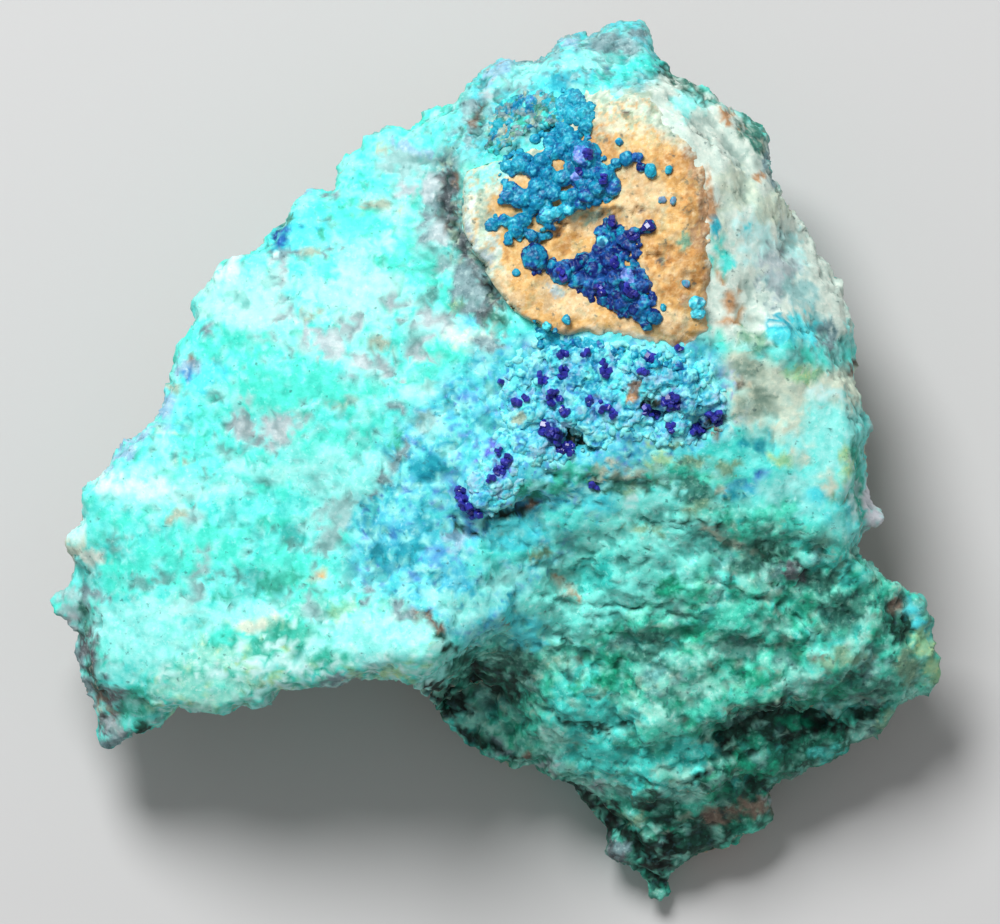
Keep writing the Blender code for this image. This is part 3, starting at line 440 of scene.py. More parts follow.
    ("emerald", 770, 772, 16, 6, -30), ("deep rock", 740, 812, 30, 16, -30),
    ("emerald", 744, 765, 14, 10), ("emerald", 792, 722, 14, 6), ("rock green", 846, 722, 12, 5),
    ("emerald", 716, 790, 16, 8, -20), ("pale rock", 858, 736, 12, 7, -20),
    ("rock teal", 826, 750, 14, 6, -20), ("emerald", 830, 694, 24, 6),
    ("dark", 482, 742, 14, 8, 40), ("rock green", 700, 806, 16, 10), ("dark", 760, 790, 16, 6, -30),
    ("dark", 690, 776, 14, 6, -10),
    ("grey", 503, 750, 14, 8, 30), ("pale rock", 528, 766, 16, 6, 10), ("brown", 524, 755, 6, 5),
    ("white", 553, 737, 10, 6), ("pale rock", 560, 742, 20, 12), ("pink quartz", 548, 766, 8, 5),
    ("pale rock", 588, 786, 24, 7, 20), ("pink quartz", 600, 784, 7, 7),
    ("rock teal", 593, 759, 30, 16, 10), ("rock teal", 640, 770, 24, 20), ("dark", 652, 800, 14, 8),
    ("black", 586, 800, 20, 8, 35), ("black", 630, 838, 20, 10, 45), ("dark", 668, 822, 14, 8),
    ("black", 676, 846, 16, 12), ("dark", 700, 826, 14, 8, -20),
    ("charcoal", 626, 858, 12, 14, -20), ("pale rock", 614, 786, 14, 5, 10),
    ("pale rock", 672, 772, 16, 10), ("pale rock", 693, 794, 16, 9),
    ("black", 606, 818, 22, 14, 40), ("olive", 636, 818, 14, 7, 10), ("pale rock", 650, 826, 8, 5),
    ("slate", 616, 857, 12, 15, -20), ("grey", 622, 850, 8, 8), ("black", 654, 858, 16, 20),
    ("black", 658, 880, 16, 8), ("charcoal", 654, 900, 14, 12), ("dark", 708, 842, 24, 16, -25),
    ("rock green", 735, 850, 24, 8, -30), ("brown", 726, 812, 20, 9, -10),
    ("brown", 766, 807, 18, 9, -20), ("pink quartz", 770, 804, 8, 5),
    ("pale rock", 716, 655, 40, 6, -10), ("pale rock", 640, 715, 36, 14, 10),
    ("rock teal", 600, 720, 40, 20), ("pale rock", 700, 690, 24, 8, -10),
    ("rock teal", 690, 755, 26, 16), ("beige", 730, 540, 24, 6, 20), ("olive", 648, 528, 18, 6, 10),
    ("pale rock", 862, 556, 16, 4, 35), ("pale rock", 888, 578, 12, 3, 40),
    ("dark", 700, 522, 26, 3, 20), ("olive", 700, 505, 18, 6), ("pale rock", 860, 634, 4, 22, 25),
    ("dark", 506, 690, 18, 10, 20),
]


def stretch(co, amount, size, seed):
    """Pushes stations aside by noise, in stations."""
    return amount * np.column_stack([grain(co, size, seed), grain(co, size, seed + 17.0)])


def polygon_depth(at, corners):
    """Distance of stations to a polygon's edge, positive inside."""
    corners = np.array(corners, float)
    nearest = np.full(len(at), 1e9)
    inside = np.zeros(len(at), bool)
    for (ax, ay), (bx, by) in zip(corners, np.roll(corners, -1, axis=0)):
        run = np.array([bx - ax, by - ay])
        t = np.clip(((at - (ax, ay)) @ run) / (run @ run), 0, 1)
        nearest = np.minimum(nearest, np.linalg.norm(at - (ax, ay) - t[:, None] * run, axis=1))
        with np.errstate(divide="ignore", invalid="ignore"):
            cross = (ax - bx) * (at[:, 1] - by) / (ay - by) + bx
        inside ^= ((ay > at[:, 1]) != (by > at[:, 1])) & (at[:, 0] < cross)
    return np.where(inside, nearest, -nearest)


def ellipse_distance(at, across, down, half_width, half_height, turn=0):
    """0 at the centre of an ellipse and 1 on its edge."""
    angle = math.radians(turn)
    dx, dy = (at - (across, down)).T
    along = dx * math.cos(angle) + dy * math.sin(angle)
    beside = dy * math.cos(angle) - dx * math.sin(angle)
    return np.hypot(along / half_width, beside / half_height)


def path_distance(at, path):
    """Distance of stations to a bent line."""
    nearest = np.full(len(at), 1e9)
    for start, end in zip(np.array(path[:-1], float), np.array(path[1:], float)):
        run = end - start
        t = np.clip(((at - start) @ run) / (run @ run), 0, 1)
        nearest = np.minimum(nearest, np.linalg.norm(at - start - t[:, None] * run, axis=1))
    return nearest


def blend_step(value):
    value = np.clip(value, 0, 1)
    return value * value * (3 - 2 * value)


print(len(ZONES), "zones and", len(PATCHES), "patches")

# %% [markdown]
# ## The skin of the stone
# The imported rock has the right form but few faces. Its copy is given an even skin fine enough to
# carry chips a fifth of a millimetre wide. The hidden back keeps a coarser skin, so that the piece
# stays light.

# %% Even skin
SKIN = 0.22 * MM
bm = bmesh.new()
bm.from_mesh(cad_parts["matrix_rock"].data)
bmesh.ops.remove_doubles(bm, verts=bm.verts, dist=0.001 * MM)
rock = link("claraite_rock", bm)
even_skin(rock, SKIN)
relax(rock, 2, 0.4)
tell("rock skin:", len(rock.data.vertices), "vertices")

# %% [markdown]
# ## Carve the skin
# The lower rock broke along many small facets, the band is a crowd of knobs, and the coated face is
# nearly smooth. Facets come from a cell noise whose cells each slope their own way, knobs from the
# distance to the cells' centres, and grains from fractal noise. All are added along the normals,
# with a share for each zone, and then the named crevices are cut.

# %% Ruggedness and relief
CREVICES = [
    # depth in millimetres, half width in stations, path
    (1.0, 8, [(716, 738), (740, 722), (776, 712), (800, 716), (836, 726), (866, 716)]),
    (0.5, 5, [(696, 776), (724, 752), (748, 758), (790, 740)]),
    (0.8, 8, [(436, 714), (452, 702), (466, 688), (480, 674)]),
    (0.5, 6, [(474, 736), (500, 752), (524, 762), (545, 772)]),
    (0.7, 8, [(566, 784), (590, 800), (612, 820), (636, 846)]),
    (0.5, 6, [(640, 868), (655, 884), (668, 880)]),
    (0.35, 6, [(906, 604), (903, 628), (896, 655)]),
    (0.35, 6, [(548, 474), (580, 478), (600, 486)]),
    (0.3, 6, [(620, 482), (650, 488), (690, 480)]),
    (0.8, 4.5, [(490, 522), (510, 516), (526, 507), (544, 493)]),
    (0.4, 4, [(453, 520), (466, 532), (480, 532)]),
    (0.35, 3, [(447, 174), (440, 196), (446, 214)]),
    (0.6, 3.5, [(450, 214), (458, 236), (470, 258), (486, 280), (502, 306)]),
    (1.0, 6, [(562, 434), (576, 441), (588, 446)]),
    (0.8, 4, [(636, 404), (648, 408), (660, 412)]),
    (0.8, 5, [(696, 432), (708, 424), (716, 416)]),
    (0.2, 3, [(640, 520), (680, 530), (712, 541), (744, 552)]),
    (0.35, 4, [(560, 640), (590, 660), (620, 668), (640, 690)]),
    (0.3, 3, [(790, 560), (815, 580), (840, 600), (858, 622)]),
    (0.35, 4, [(520, 700), (560, 716), (600, 730), (640, 724)]),
    (0.3, 3, [(700, 580), (740, 590), (780, 604), (820, 640)]),
    (0.3, 3, [(560, 596), (600, 612), (640, 606), (690, 616)]),
    (0.4, 4, [(640, 780), (680, 792), (720, 786), (760, 780)]),
    (0.25, 2.5, [(536, 646), (520, 640), (500, 648), (476, 655)]),
    (0.8, 4, [(500, 162), (514, 149), (530, 134), (553, 130)]),
    (0.4, 3, [(472, 132), (478, 118), (482, 106)]),
    (0.4, 3, [(640, 78), (660, 82), (684, 88), (712, 104)]),
]


def zone_share(co, corners, blur):
    at = to_stations(co)
    return blend_step(0.5 + polygon_depth(at, corners) / blur)


def crevice_depth(co, listed):
    """Depth of the crevices in millimetres, and how much each vertex lies in one."""
    at = to_stations(co) + stretch(co, 8, 1.5, 71.0) + stretch(co, 3, 0.5, 73.0)
    depth, share = np.zeros(len(co)), np.zeros(len(co))
    for deepest, half_width, path in listed:
        profile = np.exp(-((path_distance(at, path) / half_width) ** 2))
        depth = np.maximum(depth, deepest * profile)
        share = np.maximum(share, profile * min(1, deepest / 0.5))
    ragged = 0.75 + 0.6 * grain(co, 0.9, 75.0, 3)
    return depth * ragged, share * np.clip(ragged, 0, 1)


BAND, SHOULDER, LOWER_ROCK, PALE_ROCK = [corners for _, _, corners in ZONES[:4]]
CROWN = ZONES[-1][2]
CRUST_GAP = [(446, 170), (446, 200), (456, 232), (472, 262), (492, 296)]
UPRIGHT = np.array((1, 1, 0.55))  # grains are a little taller than wide, as on a broken slope
co, up = places(rock), normals(rock)
grained = co * UPRIGHT
lower = zone_share(co, LOWER_ROCK, 24)
band = zone_share(co, BAND, 40)
turned = blend_step((0.62 - up[:, 2]) / 0.4)
crown = zone_share(co, CROWN, 30)
beside_crust = np.exp(-((path_distance(to_stations(co), CRUST_GAP) / 18) ** 2))
rugged = np.maximum.reduce(
    [0.16 + 0 * lower, 0.55 * lower, 0.4 * band, 0.5 * crown, 0.6 * beside_crust, 0.8 * turned]
)
crevice = crevice_depth(co, CREVICES)[0]
facing_up = blend_step((up[:, 2] - 0.05) / 0.3)
relief = MM * (
    rugged * (
        0.28 * chips(grained, 2.1, 4.3) + 0.17 * chips(grained, 1.0, 8.9)
        + 0.08 * chips(grained, 0.55, 3.1)
    )
    + turned * (0.16 * chips(co, 1.3, 14.0) + 0.10 * grain(co, 0.7, 16.0, 3))
    + 0.28 * lower * grain(grained, 2.6, 45.0, 4)
    + (0.08 + 0.04 * band + 0.08 * lower) * grain(grained, 1.5, 5.0, 4)
    + (0.035 + 0.03 * rugged) * grain(grained, 0.5, 9.0, 3)
    + (0.05 + 0.16 * band + 0.12 * lower + 0.08 * crown) * (knobs(grained, 0.9, 2.0) - 0.6)
    + (0.03 + 0.08 * band + 0.04 * lower + 0.08 * crown) * (knobs(grained, 0.45, 6.0) - 0.6)
    - crevice * facing_up
)
resting = (co[:, 2] < 0.4 * MM) & (up[:, 2] < -0.5)
relief[resting] = 0
co = co + up * relief[:, None]
co[:, 2] = np.maximum(co[:, 2], 0)
put(rock, co)
tell("relief from", round(relief.min() / MM, 2), "to", round(relief.max() / MM, 2), "mm")

# %% [markdown]
# ## Thin out the hidden back
# The back and the underside are seldom seen, so they need fewer faces than the display face. A
# Decimate modifier whose vertex group holds only the back thins it out and leaves the face as it
# is, and the piece stays one closed skin. The group's factor is 0, which treats the whole back
# alike: a larger one strips the steepest faces first, until they fold over.

# %% Thin out the back
ROCK_TRIANGLES = 196000
back_group = rock.vertex_groups.new(name="back")
up = normals(rock)
share = blend_step((0.05 - up[:, 2]) / 0.5)
for level in (0.25, 0.5, 0.75, 1.0):
    chosen = np.nonzero(np.abs(share - level) <= 0.125)[0].tolist()
    back_group.add(chosen, level, "REPLACE")
thin = rock.modifiers.new("Thin out", "DECIMATE")
thin.ratio = ROCK_TRIANGLES / (2 * len(rock.data.vertices))
thin.vertex_group = "back"
thin.vertex_group_factor = 0.0
apply_modifiers(rock)
rock.vertex_groups.clear()
tell("rock:", sum(len(face.vertices) - 2 for face in rock.data.polygons), "triangles")

# %% [markdown]
# ## Lay the minerals on the skin
# Every vertex gets a row of its two tones, its fleck colour and its shares. The row is kept as
# attributes of the mesh, which travel with it when it is bent or exported. The zones are laid first
# and the patches over them, each blended by its own soft border. Painted textures would need an
# unwrapped skin, and would blur on the steep sides.

# %% Ways to lay a finish
def lay(rows, weight, name):
    """Blends one finish over the rows by weight."""
    rows += weight[:, None] * (FINISH_ROWS[name] - rows)


def wash(rows, within, listed):
    """Lays finishes in turn, each where its noise passes a start, softly over a width."""
    for noise_here, start, width, share, name in listed:
        lay(rows, within * blend_step((noise_here - start) / width) * share, name)


def lay_patches(rows, at, patches, ragged, soft=0.28):
    """Blends patches over the rows; ragged is a noise that eats into them and their borders."""
    cover = 1 - 0.55 * blend_step((ragged - 0.1) / 0.5)
    for name, *ellipse in patches:
        reach = 1.6 * max(ellipse[2:4])
        near = np.abs(at - ellipse[:2]).max(axis=1) < reach
        if near.any():
            far = ellipse_distance(at[near], *ellipse) + 0.5 * ragged[near]
            part = rows[near]
            lay(part, blend_step((1 + soft - far) / (2 * soft)) * cover[near], name)
            rows[near] = part


def write_attributes(obj, rows, cavity):
    """Stores tones, flecks and shares on the mesh's vertices."""
    mesh = obj.data
    for name, columns in (("tone_a", TONE_A), ("tone_b", TONE_B), ("fleck", FLECK)):
        colours = np.ones((len(rows), 4), np.float32)
        colours[:, :3] = rows[:, columns]
        mesh.attributes.new(name, "FLOAT_COLOR", "POINT").data.foreach_set("color", colours.ravel())
    for name, values in (
        ("fleck_share", rows[:, FLECK_SHARE]), ("speck_share", rows[:, SPECK_SHARE]),
        ("gloss", rows[:, GLOSS]), ("cavity", cavity),
    ):
        layer = mesh.attributes.new(name, "FLOAT", "POINT")
        layer.data.foreach_set("value", values.astype(np.float32))


def cavity_of(obj, rounds=10):
    """How far each vertex lies below its relaxed neighbours, in tenths of a millimetre."""
    bm = bmesh.new()
    bm.from_mesh(obj.data)
    smooth(bm, rounds, 0.6)
    flat = np.array([vert.co for vert in bm.verts], float)
    bm.free()
    return ((flat - places(obj)) * normals(obj)).sum(axis=1) / (0.1 * MM)


print("every row has", len(FINISH_ROWS["aqua"]), "values")

# %% [markdown]
# ## From the broad washes to the small patches
# Noise of three sizes marbles the coating: blotches of 3, 1 and 0.7 mm, and a fine speckle. Each
# zone is washed with a few finishes of its own, as named noises pass a start. The shader could do
# the same, but there every wash would cost a branch of nodes at every pixel.

# %% Lay the minerals
MARGIN = [
    (170, 650), (230, 622), (320, 600), (400, 606), (446, 650), (430, 692), (330, 696), (240, 706),
    (170, 730), (126, 700),
]
skin_co, up = places(rock), normals(rock)
co = skin_co * UPRIGHT
at = to_stations(skin_co)
at = at + stretch(co, 7, 2.2, 3.3) + stretch(co, 5, 0.8, 6.1) + stretch(co, 3, 0.35, 1.9)
blotch, fine_blotch = grain(co, 3.4, 21.0, 4), grain(co, 1.2, 27.0, 4)
small_blotch, speckle = grain(co, 0.7, 29.0, 4), grain(co, 0.45, 65.0, 4)
ragged = small_blotch + 0.7 * speckle
rows = np.tile(FINISH_ROWS["aqua"], (len(co), 1))
wash(rows, 1, [
    # noise, start, width, share, finish
    (blotch, 0.10, 0.25, 1, "pale aqua"), (grain(co, 2.6, 33.0, 4), 0.22, 0.2, 1, "green"),
    (-fine_blotch, 0.32, 0.16, 0.9, "dim quartz"), (fine_blotch, 0.42, 0.12, 0.7, "deep green"),
    (small_blotch, 0.2, 0.25, 0.65, "pale aqua"), (-small_blotch, 0.2, 0.25, 0.65, "green"),
    (grain(co, 0.8, 63.0, 4), 0.5, 0.12, 0.7, "dim quartz"),
])
for name, blur, corners in ZONES:
    lay(rows, blend_step(0.5 + polygon_depth(at, corners) / blur), name)
in_lower = zone_share(co, LOWER_ROCK, 30) * (1 - 0.75 * zone_share(co, PALE_ROCK, 40))
wash(rows, in_lower, [
    (blotch, 0.12, 0.3, 0.8, "rock teal"), (-blotch, 0.20, 0.3, 0.7, "charcoal"),
    (grain(co, 2.0, 67.0, 4), 0.15, 0.3, 0.6, "grey"),
    (grain(co, 0.9, 69.0, 4), 0.35, 0.15, 0.6, "beige"),
    (fine_blotch, 0.20, 0.25, 0.8, "emerald"), (-fine_blotch, 0.35, 0.2, 0.5, "olive"),
    (small_blotch, 0.10, 0.3, 0.55, "pale rock"), (-small_blotch, 0.30, 0.2, 0.6, "dark"),
])
in_crown = zone_share(co, CROWN, 30)
lay(rows, in_crown * 0.25, "grey")
wash(rows, in_crown, [
    (fine_blotch, 0.05, 0.25, 0.8, "quartz"), (-small_blotch, 0.08, 0.2, 0.8, "rock teal"),
    (speckle, 0.08, 0.15, 0.7, "grey"), (-speckle, 0.22, 0.12, 0.7, "charcoal"),
])
wash(rows, zone_share(co, SHOULDER, 30), [
    (fine_blotch, 0.1, 0.2, 0.7, "pale aqua"), (-fine_blotch, 0.15, 0.2, 0.4, "cyan"),
    (small_blotch, 0.1, 0.2, 0.7, "pale aqua"), (-small_blotch, 0.2, 0.15, 0.6, "cyan"),
])
# Along the gap beside the crust's rim: grey and slate, partly painted shadow under the lip, with
# beige and brown.
in_gap = np.exp(-((path_distance(at, CRUST_GAP) / 17) ** 2))
lay(rows, in_gap * 0.7, "grey")
wash(rows, in_gap, [
    (speckle, 0.02, 0.12, 1, "slate"), (-speckle, 0.1, 0.12, 1, "beige"),
    (-small_blotch, 0.28, 0.12, 0.6, "brown"),
])
wash(rows, zone_share(co, BAND, 30), [
    (fine_blotch, 0.30, 0.2, 0.6, "blue"), (-fine_blotch, 0.25, 0.2, 0.8, "teal"),
    (small_blotch, 0.12, 0.2, 0.8, "pale aqua"), (-small_blotch, 0.12, 0.2, 0.6, "aqua"),
    (-speckle, 0.35, 0.12, 0.6, "violet"),
])
wash(rows, zone_share(co, MARGIN, 40), [
    (grain(co, 1.5, 81.0, 4), 0.05, 0.3, 0.7, "deep green"),
    (small_blotch, 0.05, 0.2, 0.8, "pale rock"), (-small_blotch, 0.05, 0.2, 0.8, "green"),
    (speckle, 0.12, 0.15, 0.8, "white"), (-speckle, 0.14, 0.15, 0.8, "deep green"),
    (fine_blotch, 0.28, 0.15, 0.7, "yellow green"),
])
lay_patches(rows, at, PATCHES, ragged)
tell("display face laid")

# %% [markdown]
# ## Sides, back and crevices
# Plain broken rock takes over from the coating on the back. The steep sides of the lower rock get a
# darker rock, which is painted shade on faces that turn from the lamp, and the quartz tooth is laid
# over it once more. Crevices are painted dark last, so that no patch covers them: painted shade,
# over the shadows that the cuts cast. Glassy spots sink a little, as worn quartz does.

# %% Lay the sides, the back and the crevices
wander = 0.25 * grain(co, 1.6, 41.0) + 0.15 * grain(co, 0.6, 43.0)
# Steep sides of the lower rock are darkened with deep rock: painted shade.
side = blend_step((0.45 + wander - up[:, 2]) / 0.35) * zone_share(co, LOWER_ROCK, 30)
lay(rows, side * 0.6, "deep rock")
back = blend_step((0.04 + wander - up[:, 2]) / 0.3)
lay(rows, back, "back rock")
wash(rows, back, [
    (grain(co, 5.0, 47.0), 0.05, 0.2, 1, "aqua"), (grain(co, 3.0, 53.0), 0.2, 0.2, 1, "rust"),
    (grain(co, 2.4, 59.0), 0.25, 0.2, 1, "rock green"),
])
lay_patches(rows, at, TOOTH_PATCHES, ragged)
# Crevices are painted dark, and black along their middles: painted shade.
crevice_shade = crevice_depth(skin_co, CREVICES)[1] * blend_step(up[:, 2] / 0.3)
crevice_shade *= 0.5 + 0.5 * blend_step((grain(co, 1.4, 79.0, 3) + 0.2) / 0.4)
wash(rows, 1, [(crevice_shade, 0.25, 0.4, 0.9, "dark"), (crevice_shade, 0.55, 0.3, 0.9, "black")])
glassy = blend_step((rows[:, GLOSS] - 0.3) / 0.3) * blend_step((up[:, 2] - 0.5) / 0.3)
GLASS_SINK = 0.07 * MM
put(rock, skin_co - up * (GLASS_SINK * (glassy * (1 - in_lower)))[:, None])
DEEPEST = 1.5  # the most a hollow counts, in tenths of a millimetre
# The cavity darkens the hollows in the shader, partly as dirt and partly as painted shade; the
# broad one adds painted shade over whole crevices.
cavity = np.clip(cavity_of(rock) + 0.5 * cavity_of(rock, 40), -DEEPEST, DEEPEST)
write_attributes(rock, rows, cavity)
tell("rock laid")

# %% [markdown]
# ## One material for all the minerals
# The real colours change from grain to grain, finer than the skin's faces. So the shader takes the
# two tones from the mesh and mixes them by fine noise, scatters flecks and dark specks by their
# shares, and darkens the hollows, partly for the dirt that gathers there and partly as painted
# shade. One small class makes the maths readable.

# %% Shader maths
class Wire:
    """A socket of a shader that takes part in sums."""

    def __init__(self, shade, socket):
        self.shade, self.socket = shade, socket

    def math(self, operation, *others, clamp=False):
        settings = {"operation": operation, "use_clamp": clamp}
        return self.shade.node("ShaderNodeMath", settings, dict(enumerate((self, *others))))

    def __add__(self, other):
        return self.math("ADD", other)

    def __sub__(self, other):
        return self.math("SUBTRACT", other)

    def __mul__(self, other):
        return self.math("MULTIPLY", other)

    def __rsub__(self, other):
        return self.shade.node("ShaderNodeMath", {"operation": "SUBTRACT"}, {0: other, 1: self})

    __radd__ = __add__
    __rmul__ = __mul__


class Shade:
    """A new material whose nodes are made by one method."""

    def __init__(self, name):
        self.material = bpy.data.materials.new(name)
        self.material.use_nodes = True
        self.tree = self.material.node_tree
        self.surface = self.tree.nodes["Principled BSDF"]

    def node(self, kind, settings=None, values=None, output=0):
        made = self.tree.nodes.new(kind)
        for key, value in (settings or {}).items():
            setattr(made, key, value)
        self.feed(made, values or {})
        return Wire(self, made.outputs[output])

    def feed(self, node, values):
        for key, value in values.items():
            if isinstance(value, Wire):
                self.tree.links.new(value.socket, node.inputs[key])
            else:
                node.inputs[key].default_value = value

    def attribute(self, name, output="Fac"):
        return self.node("ShaderNodeAttribute", {"attribute_name": name}, output=output)

    def noise(self, scale, detail, rough=0.6, shift=0.0):
        place = self.node(
            "ShaderNodeVectorMath", {"operation": "MULTIPLY_ADD"},
            {0: self.node("ShaderNodeTexCoord", output="Object"), 1: (1, 1, 0.6), 2: (shift,) * 3},
        )
        return self.node(
            "ShaderNodeTexNoise", {"noise_dimensions": "3D"},
            {"Vector": place, "Scale": scale, "Detail": detail, "Roughness": rough},
        )

    def mix(self, share, first, second, blend="MIX"):
        values = {0: share, 6: first, 7: second}
        return self.node(
            "ShaderNodeMix", {"data_type": "RGBA", "blend_type": blend}, values, output=2
        )


def steep(wire, start, width):
    """0 below start, 1 above start + width."""
    return (wire - start).math("MULTIPLY", 1 / width, clamp=True)


# %% [markdown]
# ## Material for a coating, clay or crystal crust
# The pieces differ in the size of their grains, in their roughness, in how dark their hollows are
# painted and in the tone there, dirt mixed with painted shade. Those are the settings of one
# function, so that all the crusts look like one stone.

# %% The mineral material
# Tone of the hollows: dirt mixed with painted shade.
DIRT_AND_SHADE = (0.10, 0.24, 0.24, 1)
SPECK_TONE = (0.03, 0.10, 0.11, 1)


def mineral_material(name, grain_mm=0.5, dirt_and_shade=0.5, bump_mm=0.03, roughness=0.62, hollow_tone=DIRT_AND_SHADE):
    shade = Shade(name)
    mottle = shade.noise(1 / (1.3 * MM), 5, 0.6, 0.017)
    coarse = shade.noise(1 / (grain_mm * MM), 4, 0.6)
    fine = shade.noise(1 / (0.3 * MM), 3, 0.6, 0.013)
    dots = shade.noise(1 / (0.4 * MM), 3, 0.5, 0.029)
    colour = shade.mix(
        steep(coarse * 0.55 + mottle * 0.45, 0.40, 0.20), shade.attribute("tone_a", "Color"),
        shade.attribute("tone_b", "Color"),
    )
    flecks = steep(fine + shade.attribute("fleck_share") * 0.3, 0.62, 0.2)
    colour = shade.mix(flecks * 0.7, colour, shade.attribute("fleck", "Color"))
    specks = steep(dots + shade.attribute("speck_share") * 0.25, 0.68, 0.1)
    colour = shade.mix(specks * 0.6, colour, SPECK_TONE)
    # The hollows are darkened: partly dirt, partly painted shade.
    hollow = steep(shade.attribute("cavity"), 0.1, 1.2)
    colour = shade.mix(hollow * dirt_and_shade, colour, hollow_tone, "MULTIPLY")
    gloss = shade.attribute("gloss")
    shade.feed(shade.surface, {
        "Base Color": colour,
        "Roughness": roughness - gloss * 0.3 + (fine - 0.5) * 0.3,
        "Specular IOR Level": 0.22,
    })
    height = coarse * 0.8 + fine * 0.6 + dots * 0.4
    bump = {"Strength": 1.0, "Distance": bump_mm * MM, "Height": height}
    shade.feed(shade.surface, {"Normal": shade.node("ShaderNodeBump", {}, bump, output="Normal")})
    print(name, "has", len(shade.tree.nodes), "nodes")
    return shade.material


def hand_over(obj, material, node=None):
    """Gives a piece its material and its place in the part."""
    obj.data.materials.clear()
    obj.data.materials.append(material)
    if node:
        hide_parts(node)
    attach(obj, "root")
    tell(obj.name, "has", len(obj.data.vertices), "vertices")


def dress(obj, rows, material, node=None, rounds=8):
    """Hands over a crust with its finishes and its hollows."""
    write_attributes(obj, rows, np.clip(cavity_of(obj, rounds), -DEEPEST, DEEPEST))
    obj.data.shade_smooth()
    hand_over(obj, material, node)


rock.data.shade_smooth()
hand_over(rock, mineral_material("claraite on quartz"), "matrix_rock")

# %% [markdown]
# ## The ochre crust
# The crust is a plate of iron-stained clay less than a millimetre thick that lies on the crown. It
# is thick at its left edge, where it broke off clean and stands over a dark gap, and thins out to
# nothing at the top and right. A flat slab is given an even skin and then draped on the finished
# rock, so that it follows every rise. A copy of the rock's faces moved outwards would keep the
# rock's own edges instead of a broken rim.

# %% Ochre crust
OCHRE_EDGE = [
    (466, 172), (494, 162), (512, 160), (530, 148), (556, 140), (566, 118), (574, 94), (600, 84),
    (624, 90), (650, 98), (672, 128), (692, 146), (704, 170), (708, 205), (711, 245), (714, 285),
    (711, 322), (700, 344), (682, 354), (656, 346), (612, 338), (568, 337), (536, 327),
    (512, 310), (494, 286), (478, 260), (464, 232), (459, 200),
]
OCHRE_RIM = [(466, 172), (459, 200), (464, 232), (478, 260), (494, 286), (512, 310), (536, 327)]
OCHRE_RIM_WIDTH = 42  # stations over which the crust thins out from its rim
OCHRE_SINK = 0.3 * MM
OCHRE_SKIN = 0.13 * MM
OCHRE_HOLLOWS = [
    # across, down, half width, half height, turn in degrees, rise in millimetres
    (659, 262, 15, 9, -25, -0.22), (655, 258, 5, 3, 0, -0.25), (668, 266, 4, 3, 0, -0.25),
    (639, 212, 4, 3, 0, -0.35), (593, 226, 22, 13, -10, -0.3), (552, 234, 15, 4, -25, -0.7),
    (626, 114, 4, 3, 0, -0.3), (545, 131, 12, 3, 0, -0.45), (524, 146, 14, 3, -45, -0.45),
    (690, 285, 8, 14, 0, -0.15), (646, 190, 16, 8, 0, -0.12), (560, 300, 20, 8, 15, -0.15),
    (598, 209, 22, 4, -10, 0.3), (688, 210, 10, 30, 5, 0.18), (672, 330, 18, 10, 0, 0.15),
    (676, 240, 12, 16, 0, 0.12), (640, 150, 18, 12, 0, 0.12), (520, 285, 10, 16, -35, 0.15),
]
OCHRE_PATCHES = [
    ("pale ochre", 618, 112, 30, 22), ("beige", 590, 90, 26, 12), ("cyan", 606, 97, 12, 4, 10),
    ("pale ochre", 640, 198, 26, 18), ("pale ochre", 560, 300, 34, 14, 20),
    ("pale ochre", 593, 224, 24, 12, -10), ("beige", 590, 216, 16, 6, -10),
    ("orange", 664, 258, 18, 12, -20), ("orange", 674, 165, 20, 12, 10),
    ("orange", 690, 205, 10, 20), ("orange", 600, 140, 14, 12), ("ochre", 636, 138, 22, 14),
    ("orange", 678, 290, 18, 14), ("rust", 704, 215, 7, 44), ("rust", 696, 168, 7, 18, 15),
    ("orange", 700, 262, 9, 26), ("rust", 700, 240, 4, 14), ("rust", 690, 152, 5, 8, 20),
    ("olive", 684, 240, 5, 8), ("rust", 694, 236, 5, 10), ("rust", 706, 285, 5, 16),
    ("cream", 480, 196, 22, 30), ("cream", 477, 236, 17, 30, -15), ("cream", 492, 272, 13, 26, -34),
    ("milky", 472, 184, 12, 10), ("pale slope", 470, 214, 9, 16),
    ("pink quartz", 470, 240, 7, 16, -15), ("pink quartz", 486, 262, 7, 12, -30),
    ("beige", 484, 214, 7, 14), ("pale aqua", 496, 174, 20, 9, -20),
    ("pale slope", 494, 246, 6, 12, -20), ("beige", 500, 276, 5, 12, -30),
    ("cream", 600, 92, 30, 8), ("cream", 508, 300, 7, 16, -38), ("cream", 530, 322, 18, 5, 15),
    ("beige", 482, 204, 6, 10), ("pale ochre", 506, 290, 9, 20, -35), ("ochre", 500, 208, 12, 12),
    ("ochre", 522, 280, 12, 22, -30), ("ochre", 548, 322, 24, 8, 10),
    ("beige", 530, 156, 14, 8, -30), ("pale ochre", 674, 320, 16, 10),
    ("brown", 552, 234, 14, 4, -25), ("brown", 659, 262, 4, 2), ("pink quartz", 556, 292, 8, 5, 20),
    ("pale ochre", 632, 170, 16, 8), ("cream", 594, 96, 16, 8), ("rust", 667, 259, 3, 2),
    ("brown", 639, 212, 4, 3), ("brown", 626, 114, 4, 3), ("cream", 660, 120, 12, 10, 30),
    ("pale ochre", 655, 100, 12, 8, 20), ("rust", 684, 300, 6, 4),
]


def surface_of(obj):
    bm = bmesh.new()
    bm.from_mesh(obj.data)
    tree = BVHTree.FromBMesh(bm)
    bm.free()
    return tree


ABOVE = 60 * MM  # over every point of the stone


def hit_below(tree, x, y):
    """Where a line straight down meets a surface, and which way the surface faces there."""
    return tree.ray_cast(Vector((x, y, ABOVE)), Vector((0, 0, -1)))[:2]


